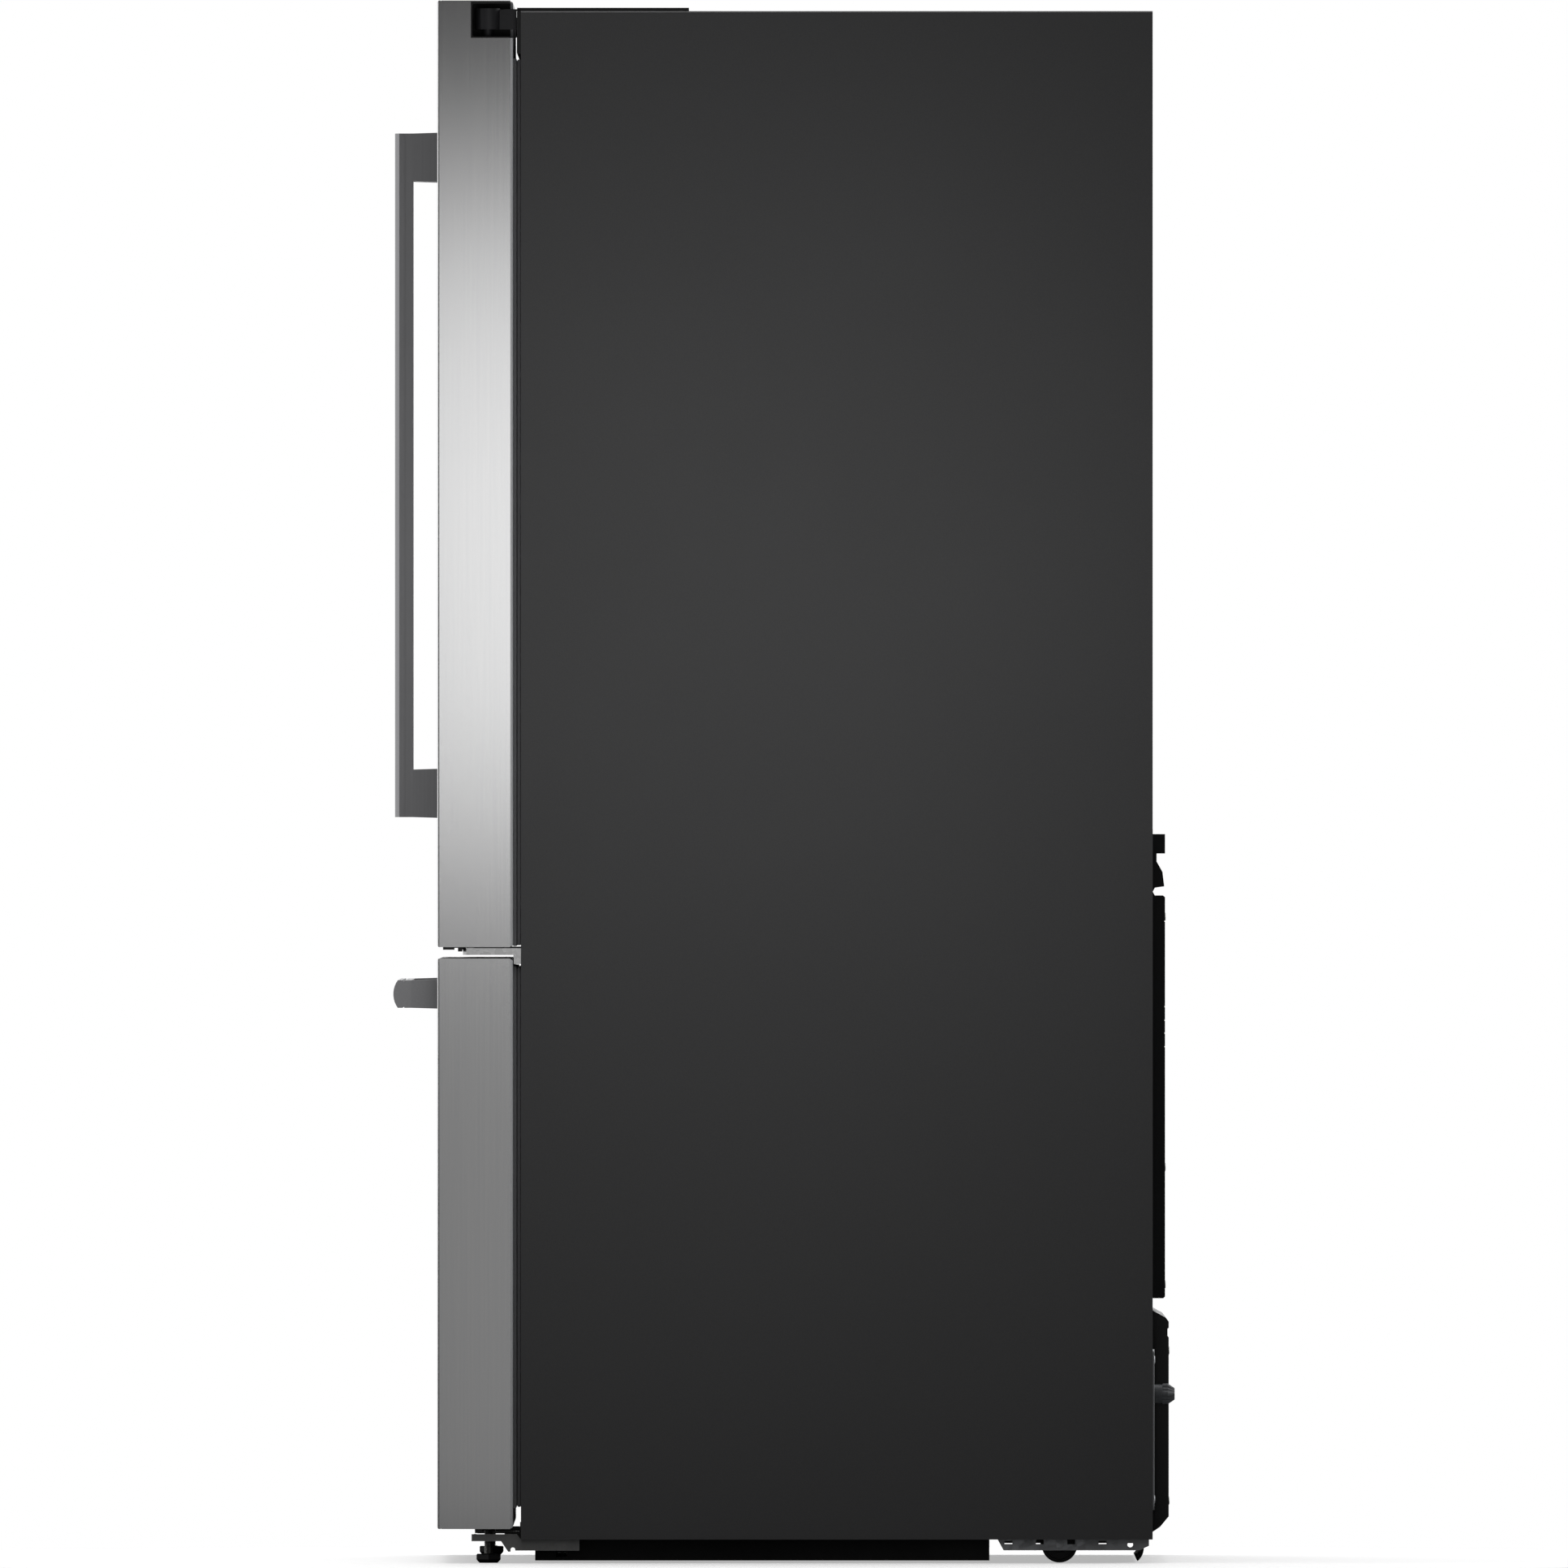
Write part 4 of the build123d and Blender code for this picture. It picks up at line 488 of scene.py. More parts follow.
class Effect(Enum):
    """Shared shader effects, each one node group that is built once."""

    GRAIN = "fine_grain"
    SMUDGE = "soft_smudge"
    SPANGLE = "zinc_spangle"
    EDGE_WEAR = "edge_wear"

    def tree(self) -> bpy.types.NodeTree:
        """The effect's node group, made on first use."""
        known = bpy.data.node_groups.get(self.value)
        if known:
            return known
        group = bpy.data.node_groups.new(self.value, "ShaderNodeTree")
        {
            Effect.GRAIN: self._grain,
            Effect.SMUDGE: self._smudge,
            Effect.SPANGLE: self._spangle,
            Effect.EDGE_WEAR: self._edge_wear,
        }[self](group)
        return group

    @staticmethod
    def _sockets(group: bpy.types.NodeTree, inputs: dict[str, object], outputs: Iterable[str]) -> None:
        for name, value in inputs.items():
            kind = "NodeSocketVector" if isinstance(value, tuple) else "NodeSocketFloat"
            group.interface.new_socket(name, in_out="INPUT", socket_type=kind).default_value = value
        for name in outputs:
            group.interface.new_socket(name, in_out="OUTPUT", socket_type="NodeSocketFloat")

    def _grain(self, group: bpy.types.NodeTree) -> None:
        """Fine grain that can be drawn out into streaks: a colour mask and a height."""
        self._sockets(group, {"Scale": 300.0, "Stretch": (1.0, 1.0, 1.0)}, ("Mask", "Height"))
        wiring = Wiring(group)
        given = group.nodes.new("NodeGroupInput")
        place = wiring.node("TexCoord")
        drawn = wiring.node(
            "VectorMath", {"operation": "MULTIPLY"}, in0=place.outputs["Object"], in1=given.outputs["Stretch"]
        )
        fine = wiring.node(
            "TexNoise", None, Vector=drawn.outputs[0], Scale=given.outputs["Scale"], Detail=3.0, Roughness=0.6
        )
        mask = wiring.node("MapRange", None, Value=fine.outputs[0], From_Min=0.32, From_Max=0.68)
        result = group.nodes.new("NodeGroupOutput")
        group.links.new(mask.outputs[0], result.inputs["Mask"])
        group.links.new(fine.outputs[0], result.inputs["Height"])

    def _smudge(self, group: bpy.types.NodeTree) -> None:
        """Broad soft clouds, as on a surface that has been wiped and handled."""
        self._sockets(group, {"Scale": 4.0}, ("Mask",))
        wiring = Wiring(group)
        given = group.nodes.new("NodeGroupInput")
        place = wiring.node("TexCoord")
        clouds = wiring.node(
            "TexNoise",
            None,
            Vector=place.outputs["Object"],
            Scale=given.outputs["Scale"],
            Detail=4.0,
            Roughness=0.55,
            Distortion=0.4,
        )
        mask = wiring.node("MapRange", None, Value=clouds.outputs[0], From_Min=0.3, From_Max=0.7)
        result = group.nodes.new("NodeGroupOutput")
        group.links.new(mask.outputs[0], result.inputs["Mask"])

    def _spangle(self, group: bpy.types.NodeTree) -> None:
        """Zinc crystals: a shade for each crystal and a slight height."""
        self._sockets(group, {"Scale": 70.0}, ("Mask", "Height"))
        wiring = Wiring(group)
        given = group.nodes.new("NodeGroupInput")
        place = wiring.node("TexCoord")
        cells = wiring.node(
            "TexVoronoi", None, Vector=place.outputs["Object"], Scale=given.outputs["Scale"], Randomness=1.0
        )
        shade = wiring.node("SeparateColor", None, Color=cells.outputs["Color"])
        result = group.nodes.new("NodeGroupOutput")
        group.links.new(shade.outputs[0], result.inputs["Mask"])
        group.links.new(cells.outputs["Distance"], result.inputs["Height"])

    def _edge_wear(self, group: bpy.types.NodeTree) -> None:
        """A mask along sharp edges, broken up by noise: partly scuffed paint and partly a painted highlight
        where the edges catch light.
        """
        self._sockets(group, {"Radius": 1.2 * MM, "Breakup": 120.0}, ("Mask",))
        wiring = Wiring(group)
        given = group.nodes.new("NodeGroupInput")
        eased = wiring.node("Bevel", {"samples": 4}, Radius=given.outputs["Radius"])
        surface = wiring.node("NewGeometry")
        match = wiring.node(
            "VectorMath", {"operation": "DOT_PRODUCT"}, in0=eased.outputs[0], in1=surface.outputs["Normal"]
        )
        edge = wiring.node("MapRange", None, Value=match.outputs["Value"], From_Min=0.995, From_Max=0.86)
        place = wiring.node("TexCoord")
        noise = wiring.node("TexNoise", None, Vector=place.outputs["Object"], Scale=given.outputs["Breakup"])
        broken = wiring.node("Math", {"operation": "MULTIPLY"}, in0=edge.outputs[0], in1=noise.outputs[0])
        result = group.nodes.new("NodeGroupOutput")
        group.links.new(broken.outputs[0], result.inputs["Mask"])


# ======================================================================
# Finishes
# ======================================================================


def _start(name: str) -> tuple[bpy.types.Material, Wiring]:
    """A new material and the wiring of its tree."""
    material = bpy.data.materials.new(name)
    material.use_nodes = True
    return material, Wiring(material.node_tree)


def _finish(wiring: Wiring, surface: bpy.types.NodeSocket) -> None:
    """Join a surface shader to the material's output."""
    wiring.node("OutputMaterial", None, Surface=surface)


@dataclass(frozen=True)
class Moulded:
    """Moulded plastic, rubber, enamel or textured paint.

    Attributes:
        name: the material's name.
        colour: main display colour.
        second: colour in the troughs of the grain.
        scuff_and_highlight_colour: colour along the edges, partly scuffing and partly a painted highlight.
        roughness: lowest and highest roughness.
        grain: grains to the metre.
        relief: depth of the grain in metres.
        wear: how strongly edges are lightened, as scuffing and as a painted highlight.
        coat: weight of a clear top layer.
        glow: strength of its own light.
    """

    name: str
    colour: Colour
    second: Colour
    scuff_and_highlight_colour: Colour
    roughness: Range = (0.35, 0.5)
    grain: float = 600.0
    relief: float = 0.00004
    wear: float = 0.5
    coat: float = 0.0
    glow: float = 0.0

    def make(self) -> bpy.types.Material:
        """Build the material."""
        material, wiring = _start(self.name)
        grain = wiring.effect(Effect.GRAIN, Scale=self.grain)
        smudge = wiring.effect(Effect.SMUDGE)
        wear = wiring.effect(Effect.EDGE_WEAR)
        body = wiring.blend(grain.outputs["Mask"], linear(self.second), linear(self.colour))
        scuff_and_highlight_share = wiring.scaled(wear.outputs["Mask"], 0.0, self.wear)
        # Edges are lightened towards a paler colour: partly scuffing, partly a painted highlight.
        colour = wiring.blend(scuff_and_highlight_share, body, linear(self.scuff_and_highlight_colour))
        rough = wiring.scaled(smudge.outputs["Mask"], *self.roughness)
        bump = wiring.node("Bump", None, Height=grain.outputs["Height"], Distance=self.relief, Strength=0.8)
        shader = wiring.node(
            "BsdfPrincipled",
            None,
            Base_Color=colour,
            Roughness=rough,
            Normal=bump.outputs[0],
            Coat_Weight=self.coat,
            Emission_Strength=self.glow,
            Emission_Color=linear(self.colour),
        )
        _finish(wiring, shader.outputs[0])
        return material


@dataclass(frozen=True)
class Brushed:
    """Metal with a drawn grain.

    Attributes:
        name: the material's name.
        colour: bright display colour of the metal.
        second: darker colour between the scratches.
        stretch: grain frequency along x, y and z; the smallest is the way it was brushed.
        roughness: lowest and highest roughness.
        relief: depth of the scratches in metres.
        metallic: metal share, below 1 for a film or lacquer over the metal.
    """

    name: str
    colour: Colour
    second: Colour
    stretch: tuple[float, float, float]
    roughness: Range = (0.24, 0.34)
    relief: float = 0.00002
    metallic: float = 1.0

    def make(self) -> bpy.types.Material:
        """Build the material."""
        material, wiring = _start(self.name)
        streaks = wiring.effect(Effect.GRAIN, Scale=1.0, Stretch=self.stretch)
        smudge = wiring.effect(Effect.SMUDGE, Scale=2.5)
        tone = wiring.scaled(streaks.outputs["Mask"], 0.25, 1.0)
        colour = wiring.blend(tone, linear(self.second), linear(self.colour))
        spread = wiring.node(
            "Math",
            {"operation": "MULTIPLY_ADD"},
            in0=streaks.outputs["Mask"],
            in1=0.4,
            in2=smudge.outputs["Mask"],
        )
        low, high = self.roughness
        rough = wiring.node("MapRange", None, Value=spread.outputs[0], From_Max=1.4, To_Min=low, To_Max=high)
        bump = wiring.node("Bump", None, Height=streaks.outputs["Height"], Distance=self.relief, Strength=0.5)
        shader = wiring.node(
            "BsdfPrincipled",
            None,
            Base_Color=colour,
            Roughness=rough.outputs[0],
            Metallic=self.metallic,
            Normal=bump.outputs[0],
        )
        _finish(wiring, shader.outputs[0])
        return material


@dataclass(frozen=True)
class Zinc:
    """Galvanised or plated sheet with crystals, and edges lightened to pale grey, partly as scuffing and
    partly as a painted highlight.

    Attributes:
        name: the material's name.
        colour: bright crystals.
        second: dull crystals.
        crystals: crystals to the metre.
        roughness: lowest and highest roughness.
        coated_above: level over which the piece is painted black, if any.
    """

    name: str
    colour: Colour
    second: Colour
    crystals: float
    roughness: Range = (0.32, 0.5)
    coated_above: float | None = None

    def make(self) -> bpy.types.Material:
        """Build the material."""
        material, wiring = _start(self.name)
        crystals = wiring.effect(Effect.SPANGLE, Scale=self.crystals)
        wear = wiring.effect(Effect.EDGE_WEAR)
        colour = wiring.blend(crystals.outputs["Mask"], linear(self.second), linear(self.colour))
        # Painted highlight along sharp edges, partly scuffed zinc: edges are blended towards light grey.
        bright = wiring.scaled(wear.outputs["Mask"], 0.0, 0.6)
        colour = wiring.blend(bright, colour, linear((226, 226, 226)))
        rough = wiring.scaled(crystals.outputs["Mask"], *self.roughness)
        bump = wiring.node("Bump", None, Height=crystals.outputs["Height"], Distance=0.00006, Strength=0.5)
        sockets = {"Base_Color": colour, "Metallic": 1.0}
        if self.coated_above is not None:
            place = wiring.node("TexCoord")
            level = wiring.node("SeparateXYZ", None, Vector=place.outputs["Object"])
            coated = wiring.node(
                "Math", {"operation": "GREATER_THAN"}, in0=level.outputs[2], in1=self.coated_above
            )
            share = coated.outputs[0]
            sockets["Base_Color"] = wiring.blend(share, colour, linear((46, 46, 49)))
            sockets["Metallic"] = wiring.scaled(share, 1.0, 0.0)
        shader = wiring.node("BsdfPrincipled", None, Roughness=rough, Normal=bump.outputs[0], **sockets)
        _finish(wiring, shader.outputs[0])
        return material


@dataclass(frozen=True)
class Clear:
    """Glass or clear plastic that lets light through to what is behind it.

    Attributes:
        name: the material's name.
        colour: tint of the body.
        cloudy: colour of its faint haze.
        roughness: lowest and highest roughness.
        index: index of refraction.
        passes: share of light that goes straight through.
    """

    name: str
    colour: Colour
    cloudy: Colour
    roughness: Range
    index: float
    passes: float

    def make(self) -> bpy.types.Material:
        """Build the material."""
        material, wiring = _start(self.name)
        grain = wiring.effect(Effect.GRAIN, Scale=90.0)
        smudge = wiring.effect(Effect.SMUDGE, Scale=7.0)
        colour = wiring.blend(smudge.outputs["Mask"], linear(self.colour), linear(self.cloudy))
        rough = wiring.scaled(smudge.outputs["Mask"], *self.roughness)
        bump = wiring.node("Bump", None, Height=grain.outputs["Height"], Distance=0.00003, Strength=0.3)
        body = wiring.node(
            "BsdfPrincipled", None, Base_Color=colour, Roughness=rough, IOR=self.index, Normal=bump.outputs[0]
        )
        window = wiring.node("BsdfTransparent", None, Color=linear(self.colour))
        edge = wiring.node("LayerWeight", None, Blend=0.35)
        share = wiring.node(
            "MapRange", None, Value=edge.outputs["Facing"], To_Min=1 - self.passes, To_Max=0.85
        )
        mixed = wiring.node(
            "MixShader", None, Fac=share.outputs[0], in1=window.outputs[0], in2=body.outputs[0]
        )
        _finish(wiring, mixed.outputs[0])
        return material


@dataclass(frozen=True)
class Finishes:
    """Every finish on the refrigerator, made once."""

    door_steel: bpy.types.Material
    handle_upright: bpy.types.Material
    handle_level: bpy.types.Material
    case_paint: bpy.types.Material
    black_plastic: bpy.types.Material
    black_gloss: bpy.types.Material
    rubber: bpy.types.Material
    liner: bpy.types.Material
    grey_plastic: bpy.types.Material
    clear_plastic: bpy.types.Material
    glass: bpy.types.Material
    zinc: bpy.types.Material
    plated: bpy.types.Material
    dull_plate: bpy.types.Material
    hinge: bpy.types.Material
    foam: bpy.types.Material
    enamel: bpy.types.Material
    fin_metal: bpy.types.Material
    copper: bpy.types.Material
    trim_metal: bpy.types.Material
    lamp: bpy.types.Material

    @classmethod
    def make(cls) -> "Finishes":
        """Build all finishes."""
        across, along = 420.0, 5.0
        return cls(
            door_steel=Brushed(
                "door_steel",
                (208, 208, 208),
                (203, 203, 204),
                (across, across, along),
                (0.24, 0.27),
                0.000004,
            ).make(),
            handle_upright=Brushed(
                "handle_steel_upright", (168, 168, 170), (160, 160, 162), (across, across, along), (0.44, 0.5)
            ).make(),
            handle_level=Brushed(
                "handle_steel_level", (172, 172, 174), (164, 164, 166), (along, across, across), (0.44, 0.5)
            ).make(),
            case_paint=Moulded(
                "case_paint", (77, 77, 78), (71, 71, 72), (92, 92, 94), (0.5, 0.53), 900.0, 0.00003, 0.3
            ).make(),
            black_plastic=Moulded(
                "black_plastic", (17, 17, 18), (12, 12, 13), (48, 48, 50), (0.42, 0.56), 1100.0, 0.00004
            ).make(),
            black_gloss=Moulded(
                "black_gloss", (12, 12, 13), (9, 9, 10), (60, 60, 62), (0.2, 0.3), 300.0, 0.00002, 0.6, 0.1
            ).make(),
            rubber=Moulded(
                "gasket_rubber",
                (146, 146, 149),
                (134, 134, 137),
                (162, 162, 164),
                (0.55, 0.7),
                700.0,
                0.00003,
                0.3,
            ).make(),
            liner=Moulded(
                "white_liner",
                (236, 238, 240),
                (230, 232, 235),
                (246, 247, 248),
                (0.22, 0.34),
                260.0,
                0.00003,
                0.3,
            ).make(),
            grey_plastic=Moulded(
                "grey_plastic", (128, 130, 133), (114, 116, 119), (158, 160, 162), (0.38, 0.52), 800.0
            ).make(),
            clear_plastic=Clear(
                "clear_plastic", (232, 240, 244), (206, 218, 226), (0.04, 0.14), 1.49, 0.82
            ).make(),
            glass=Clear("shelf_glass", (222, 238, 232), (196, 222, 212), (0.02, 0.06), 1.52, 0.86).make(),
            zinc=Zinc("galvanised_sheet", (204, 206, 208), (186, 188, 191), 150.0).make(),
            plated=Zinc("plated_steel", (196, 196, 192), (168, 168, 165), 260.0, (0.26, 0.38)).make(),
            dull_plate=Zinc("dull_plate", (158, 158, 157), (142, 142, 141), 260.0, (0.42, 0.55)).make(),
            hinge=Zinc("hinge_steel", (226, 226, 226), (202, 202, 202), 240.0, (0.36, 0.48), 1.0).make(),
            foam=Moulded(
                "insulation_foam",
                (226, 212, 160),
                (196, 178, 122),
                (236, 226, 184),
                (0.8, 0.95),
                420.0,
                0.0004,
            ).make(),
            enamel=Moulded(
                "compressor_enamel",
                (18, 18, 20),
                (12, 12, 13),
                (70, 70, 72),
                (0.3, 0.42),
                350.0,
                0.00005,
                0.7,
                0.3,
            ).make(),
            fin_metal=Brushed(
                "fin_metal", (196, 198, 200), (164, 166, 170), (90.0, across, across), (0.34, 0.46)
            ).make(),
            copper=Brushed(
                "copper_pipe", (214, 140, 104), (176, 104, 74), (60.0, 60.0, 400.0), (0.22, 0.4)
            ).make(),
            trim_metal=Brushed(
                "trim_metal", (214, 215, 217), (196, 197, 200), (along, across, across), (0.2, 0.3)
            ).make(),
            lamp=Moulded(
                "lamp_lens", (250, 250, 246), (242, 242, 238), (255, 255, 255), (0.3, 0.4), 500.0, glow=1.6
            ).make(),
        )


# ======================================================================
# Making and dressing pieces
# ======================================================================


@dataclass
class Workshop:
    """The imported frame, the finishes, and the ways to dress a node or add a piece."""

    frame: dict
    finishes: Finishes

    def dress(self, finish: bpy.types.Material, *nodes: str) -> None:
        """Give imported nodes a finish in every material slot."""
        for node in nodes:
            packed = self.frame["nodes"][node]
            packed.data.materials.clear()
            packed.data.materials.append(finish)
            log.info("dressed %s in %s", node, finish.name)

    def add(
        self,
        name: str,
        form: bmesh.types.BMesh,
        body: str,
        slot: str,
        finish: bpy.types.Material,
        stands_for: Sequence[str] = (),
        sharp: float = 32.0,
    ) -> bpy.types.Object:
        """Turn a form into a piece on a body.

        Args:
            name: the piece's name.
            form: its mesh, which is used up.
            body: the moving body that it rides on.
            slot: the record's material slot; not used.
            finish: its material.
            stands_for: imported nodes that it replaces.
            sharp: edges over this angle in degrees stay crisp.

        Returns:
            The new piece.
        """
        bmesh.ops.recalc_face_normals(form, faces=form.faces)
        mesh = bpy.data.meshes.new(name)
        form.to_mesh(mesh)
        form.free()
        mesh.shade_smooth()
        mesh.set_sharp_from_angle(angle=math.radians(sharp))
        piece = bpy.data.objects.new(name, mesh)
        bpy.context.scene.collection.objects.link(piece)
        weighted = piece.modifiers.new("even_normals", "WEIGHTED_NORMAL")
        weighted.keep_sharp = True
        return self.own(piece, body, slot, finish, stands_for)

    def own(
        self,
        piece: bpy.types.Object,
        body: str,
        slot: str,
        finish: bpy.types.Material,
        stands_for: Sequence[str] = (),
    ) -> bpy.types.Object:
        """Put a finished object on its body, with its finish and the nodes it replaces."""
        piece.data.materials.append(finish)
        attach(piece, body)
        if stands_for:
            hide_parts(*stands_for)
        log.info("made %s on %s", piece.name, body)
        return piece

    def solids(self, node: str) -> list[tuple[Vector, Vector]]:
        """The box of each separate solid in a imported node, lowest first, then left to right."""
        form = bmesh.new()
        form.from_mesh(self.frame["nodes"][node].data)
        bmesh.ops.remove_doubles(form, verts=form.verts, dist=0.001 * MM)
        waiting = set(form.verts)
        boxes = []
        while waiting:
            reached, edge = set(), [waiting.pop()]
            while edge:
                vertex = edge.pop()
                reached.add(vertex)
                near = {link.other_vert(vertex) for link in vertex.link_edges} & waiting
                waiting -= near
                edge.extend(near)
            places = [vertex.co for vertex in reached]
            low = Vector([min(place[axis] for place in places) for axis in range(3)])
            high = Vector([max(place[axis] for place in places) for axis in range(3)])
            boxes.append((low, high))
        form.free()
        return sorted(boxes, key=lambda box: (round(box[0].z, 4), round(box[0].x, 4)))


# ======================================================================
# Cabinet
# ======================================================================


@dataclass
class Cabinet:
    """The painted wrap, roof pieces, hinges, base and rear of the cabinet."""

    shop: Workshop
    bead_depth: float = 2.4 * MM
    bead_width: float = 22 * MM
    bead_pitch: float = 118 * MM
    bead_margin: float = 30 * MM
    sheet: float = 1 * MM
    screw_radius: float = 4.6 * MM
    screw_rise: float = 0.9 * MM
    lining_gap: float = 3 * MM
    clip_depth: float = 0.9 * MM
    clip_half_width: float = 6 * MM
    bead_steps: tuple[float, ...] = (-0.5, -0.38, -0.25, -0.12, 0.0, 0.12, 0.25, 0.38, 0.5)
    inlet_plate: float = 2 * MM
    inlet_screw_inset: float = 12 * MM
    valve_from_left: float = 33 * MM
    valve_from_top: float = 51 * MM
    valve_half: Range = (22 * MM, 30 * MM)
    neck_radius: float = 10.5 * MM
    nut_length: float = 13.9 * MM
    nut_wide: float = 11.7 * MM
    nut_narrow: float = 6.4 * MM
    tube_radius: float = 3.25 * MM
    tube_seat: float = 14 * MM

    def build(self) -> None:
        """Make and dress everything on the outside of the cabinet."""
        paint = self.shop.finishes
        self.shop.dress(paint.case_paint, "cabinet_wrap")
        self.shop.dress(paint.foam, "cabinet_insulation")
        self.shop.dress(paint.zinc, "base_pan", "rear_rails")
        self.shop.dress(paint.dull_plate, "leg_brackets")
        self.shop.dress(paint.plated, "hinge_screws")
        self.shop.dress(paint.black_plastic, "top_trim", "top_covers", "air_guide", "duct_cover")
        self.shop.dress(paint.black_gloss, "machine_cover")
        self.shop.dress(paint.hinge, "door_hinges")
        self._back_panel()
        self._rear_screws()
        self._water_inlet()
        self._front_clips()

    def _back_panel(self) -> None:
        """The rear sheet, with beads pressed into it, and its lining of the machine space."""
        low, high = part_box("back_panel")
        cover_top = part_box("machine_cover")[1].z
        duct_low, duct_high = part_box("duct_cover")
        levels = self._bead_levels(cover_top, high.z)
        inner = (duct_low.x - self.bead_margin, duct_high.x + self.bead_margin)
        outer = (low.x + self.bead_margin, high.x - self.bead_margin)
        form = bmesh.new()
        pressed_sheet(
            form,
            self._columns(low.x, high.x, outer + inner),
            self._rows(cover_top, high.z, levels),
            high.y,
            self.sheet,
            lambda x, z: self._dip(x, z, levels, outer, inner, duct_high.z + self.bead_width),
        )
        self._lining(form, low, high, cover_top)
        self.shop.add(
            "back_panel_pressed",
            form,
            "cabinet",
            "galvanised_steel",
            self.shop.finishes.zinc,
            ["back_panel"],
            24.0,
        )

    def _bead_levels(self, bottom: float, top: float) -> list[float]:
        """The heights of the pressed beads."""
        first, last = bottom + 2 * self.bead_margin, top - 2 * self.bead_margin
        count = int((last - first) / self.bead_pitch)
        return [first + index * (last - first) / count for index in range(count + 1)]

    def _rows(self, bottom: float, top: float, levels: Sequence[float]) -> list[float]:
        """Mesh rows, close together across each bead."""
        rows = {bottom, top}
        rows.update(level + share * self.bead_width for level in levels for share in self.bead_steps)
        return sorted(rows)

    def _columns(self, left: float, right: float, ends: Iterable[float]) -> list[float]:
        """Mesh columns, close together at the ends of the beads."""
        columns = {left, 0.0, right}
        columns.update(end + share * self.bead_width for end in ends for share in self.bead_steps)
        return sorted(columns)

    def _dip(
        self, x: float, z: float, levels: Sequence[float], outer: Range, inner: Range, duct_top: float
    ) -> float:
        """How far the rear sheet is pressed in.

        Args:
            x: place across.
            z: height.
            levels: heights of the beads.
            outer: where the beads end near the sheet's edges.
            inner: where they stop beside the tall cover.
            duct_top: the level over which they run right across.

        Returns:
            The depth, 0 away from the beads.
        """
        half = self.bead_width / 2
        level = min(levels, key=lambda height: abs(height - z))
        ends = [x - outer[0], outer[1] - x]
        if level < duct_top:
            ends.append(max(inner[0] - x, x - inner[1]))
        overrun = max(0.0, half - min(ends))
        away = math.hypot(z - level, overrun) / half
        return self.bead_depth * (0.5 + 0.5 * math.cos(math.pi * min(away, 1.0)))

    def _lining(self, form: bmesh.types.BMesh, low: Vector, high: Vector, roof: float) -> None:
        """The folded sheet round the machine space: two legs, two walls, a roof and a front."""
        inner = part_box("crisper_frame")[1].x + self.lining_gap
        lip = 0.2 * self.sheet
        for sign in SIDES.values():
            for x, y in (
                ((sign * inner, sign * high.x), (high.y - self.sheet, high.y)),
                ((sign * (inner - self.sheet), sign * inner), (low.y, high.y)),
            ):
                pillow(form, Facing.Z, x, y, (low.z, roof), lip, lip, 1)
        pillow(form, Facing.Z, (-inner, inner), (low.y, high.y), (roof - self.sheet, roof), lip, lip, 1)
        pillow(form, Facing.Y, (-inner, inner), (low.z, roof), (low.y, low.y + self.sheet), lip, lip, 1)

    def _rear_screws(self) -> None:
        """Low screws that hold both black covers."""
        form = bmesh.new()
        low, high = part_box("machine_cover")
        for x in (low.x + 14 * MM, (low.x + high.x) / 2, high.x - 14 * MM):
            for z in (low.z + 36 * MM, high.z - 46 * MM):
                screw_head(form, Facing.Y, (x, z), high.y, self.screw_radius, self.screw_rise)
        low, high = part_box("duct_cover")
        for z in (low.z + 16 * MM, low.z + 150 * MM, high.z - 100 * MM):
            for x in (low.x + 10 * MM, high.x - 10 * MM):
                screw_head(form, Facing.Y, (x, z), high.y, self.screw_radius, self.screw_rise)
        self.shop.add("rear_screws", form, "cabinet", "hinge_metal", self.shop.finishes.plated)

    def _water_inlet(self) -> None:
        """The bracket plate, the valve behind it and the ribbed inlet nut with its bore."""
        low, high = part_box("water_inlet")
        wrap_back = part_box("cabinet_wrap")[1].y
        plate_back = wrap_back + self.inlet_plate
        valve_x, nut_z = low.x + self.valve_from_left, high.z - self.valve_from_top
        half_width, half_height = self.valve_half
        plate = bmesh.new()
        pillow(plate, Facing.Y, (low.x, high.x), (low.z, high.z), (wrap_back, plate_back), 5 * MM, 0.4 * MM)
        pillow(
            plate,
            Facing.Y,
            (valve_x - half_width, valve_x + half_width),
            (nut_z - half_height, nut_z + half_height),
            (low.y, wrap_back),
            4 * MM,
            1 * MM,
        )
        for z in (low.z + self.inlet_screw_inset, high.z - self.inlet_screw_inset):
            for x in (low.x + self.inlet_screw_inset, high.x - self.inlet_screw_inset):
                screw_head(plate, Facing.Y, (x, z), plate_back, self.screw_radius, self.screw_rise)
        finishes = self.shop.finishes
        self.shop.add("inlet_bracket", plate, "cabinet", "grey_plastic", finishes.zinc, ["water_inlet"])
        nut = bmesh.new()
        base = high.y - self.nut_length

        def grip(across: float) -> Callable[[float], float]:
            """The radius of a hexagon with fine ribs, as a function of the angle."""
            return lambda angle: hexagon(across)(angle) * (1 - 0.05 * (math.cos(18 * angle) > 0.6))

        turned(
            nut,
            Facing.Y,
            (valve_x, nut_z),
            (
                (self.neck_radius, wrap_back + 1.5 * MM),
                (self.neck_radius, base),
                (grip(self.nut_wide - 0.6 * MM), base),
                (grip(self.nut_wide), base + 1 * MM),
                (grip(self.nut_wide), base + 0.45 * self.nut_length),
                (grip(self.nut_narrow + 0.6 * MM), high.y - 0.7 * MM),
                (hexagon(self.nut_narrow), high.y),
                (self.tube_radius, high.y),
                (self.tube_radius, high.y - self.tube_seat),
            ),
            72,
        )
        self.shop.add("inlet_nut", nut, "cabinet", "grey_plastic", finishes.grey_plastic)

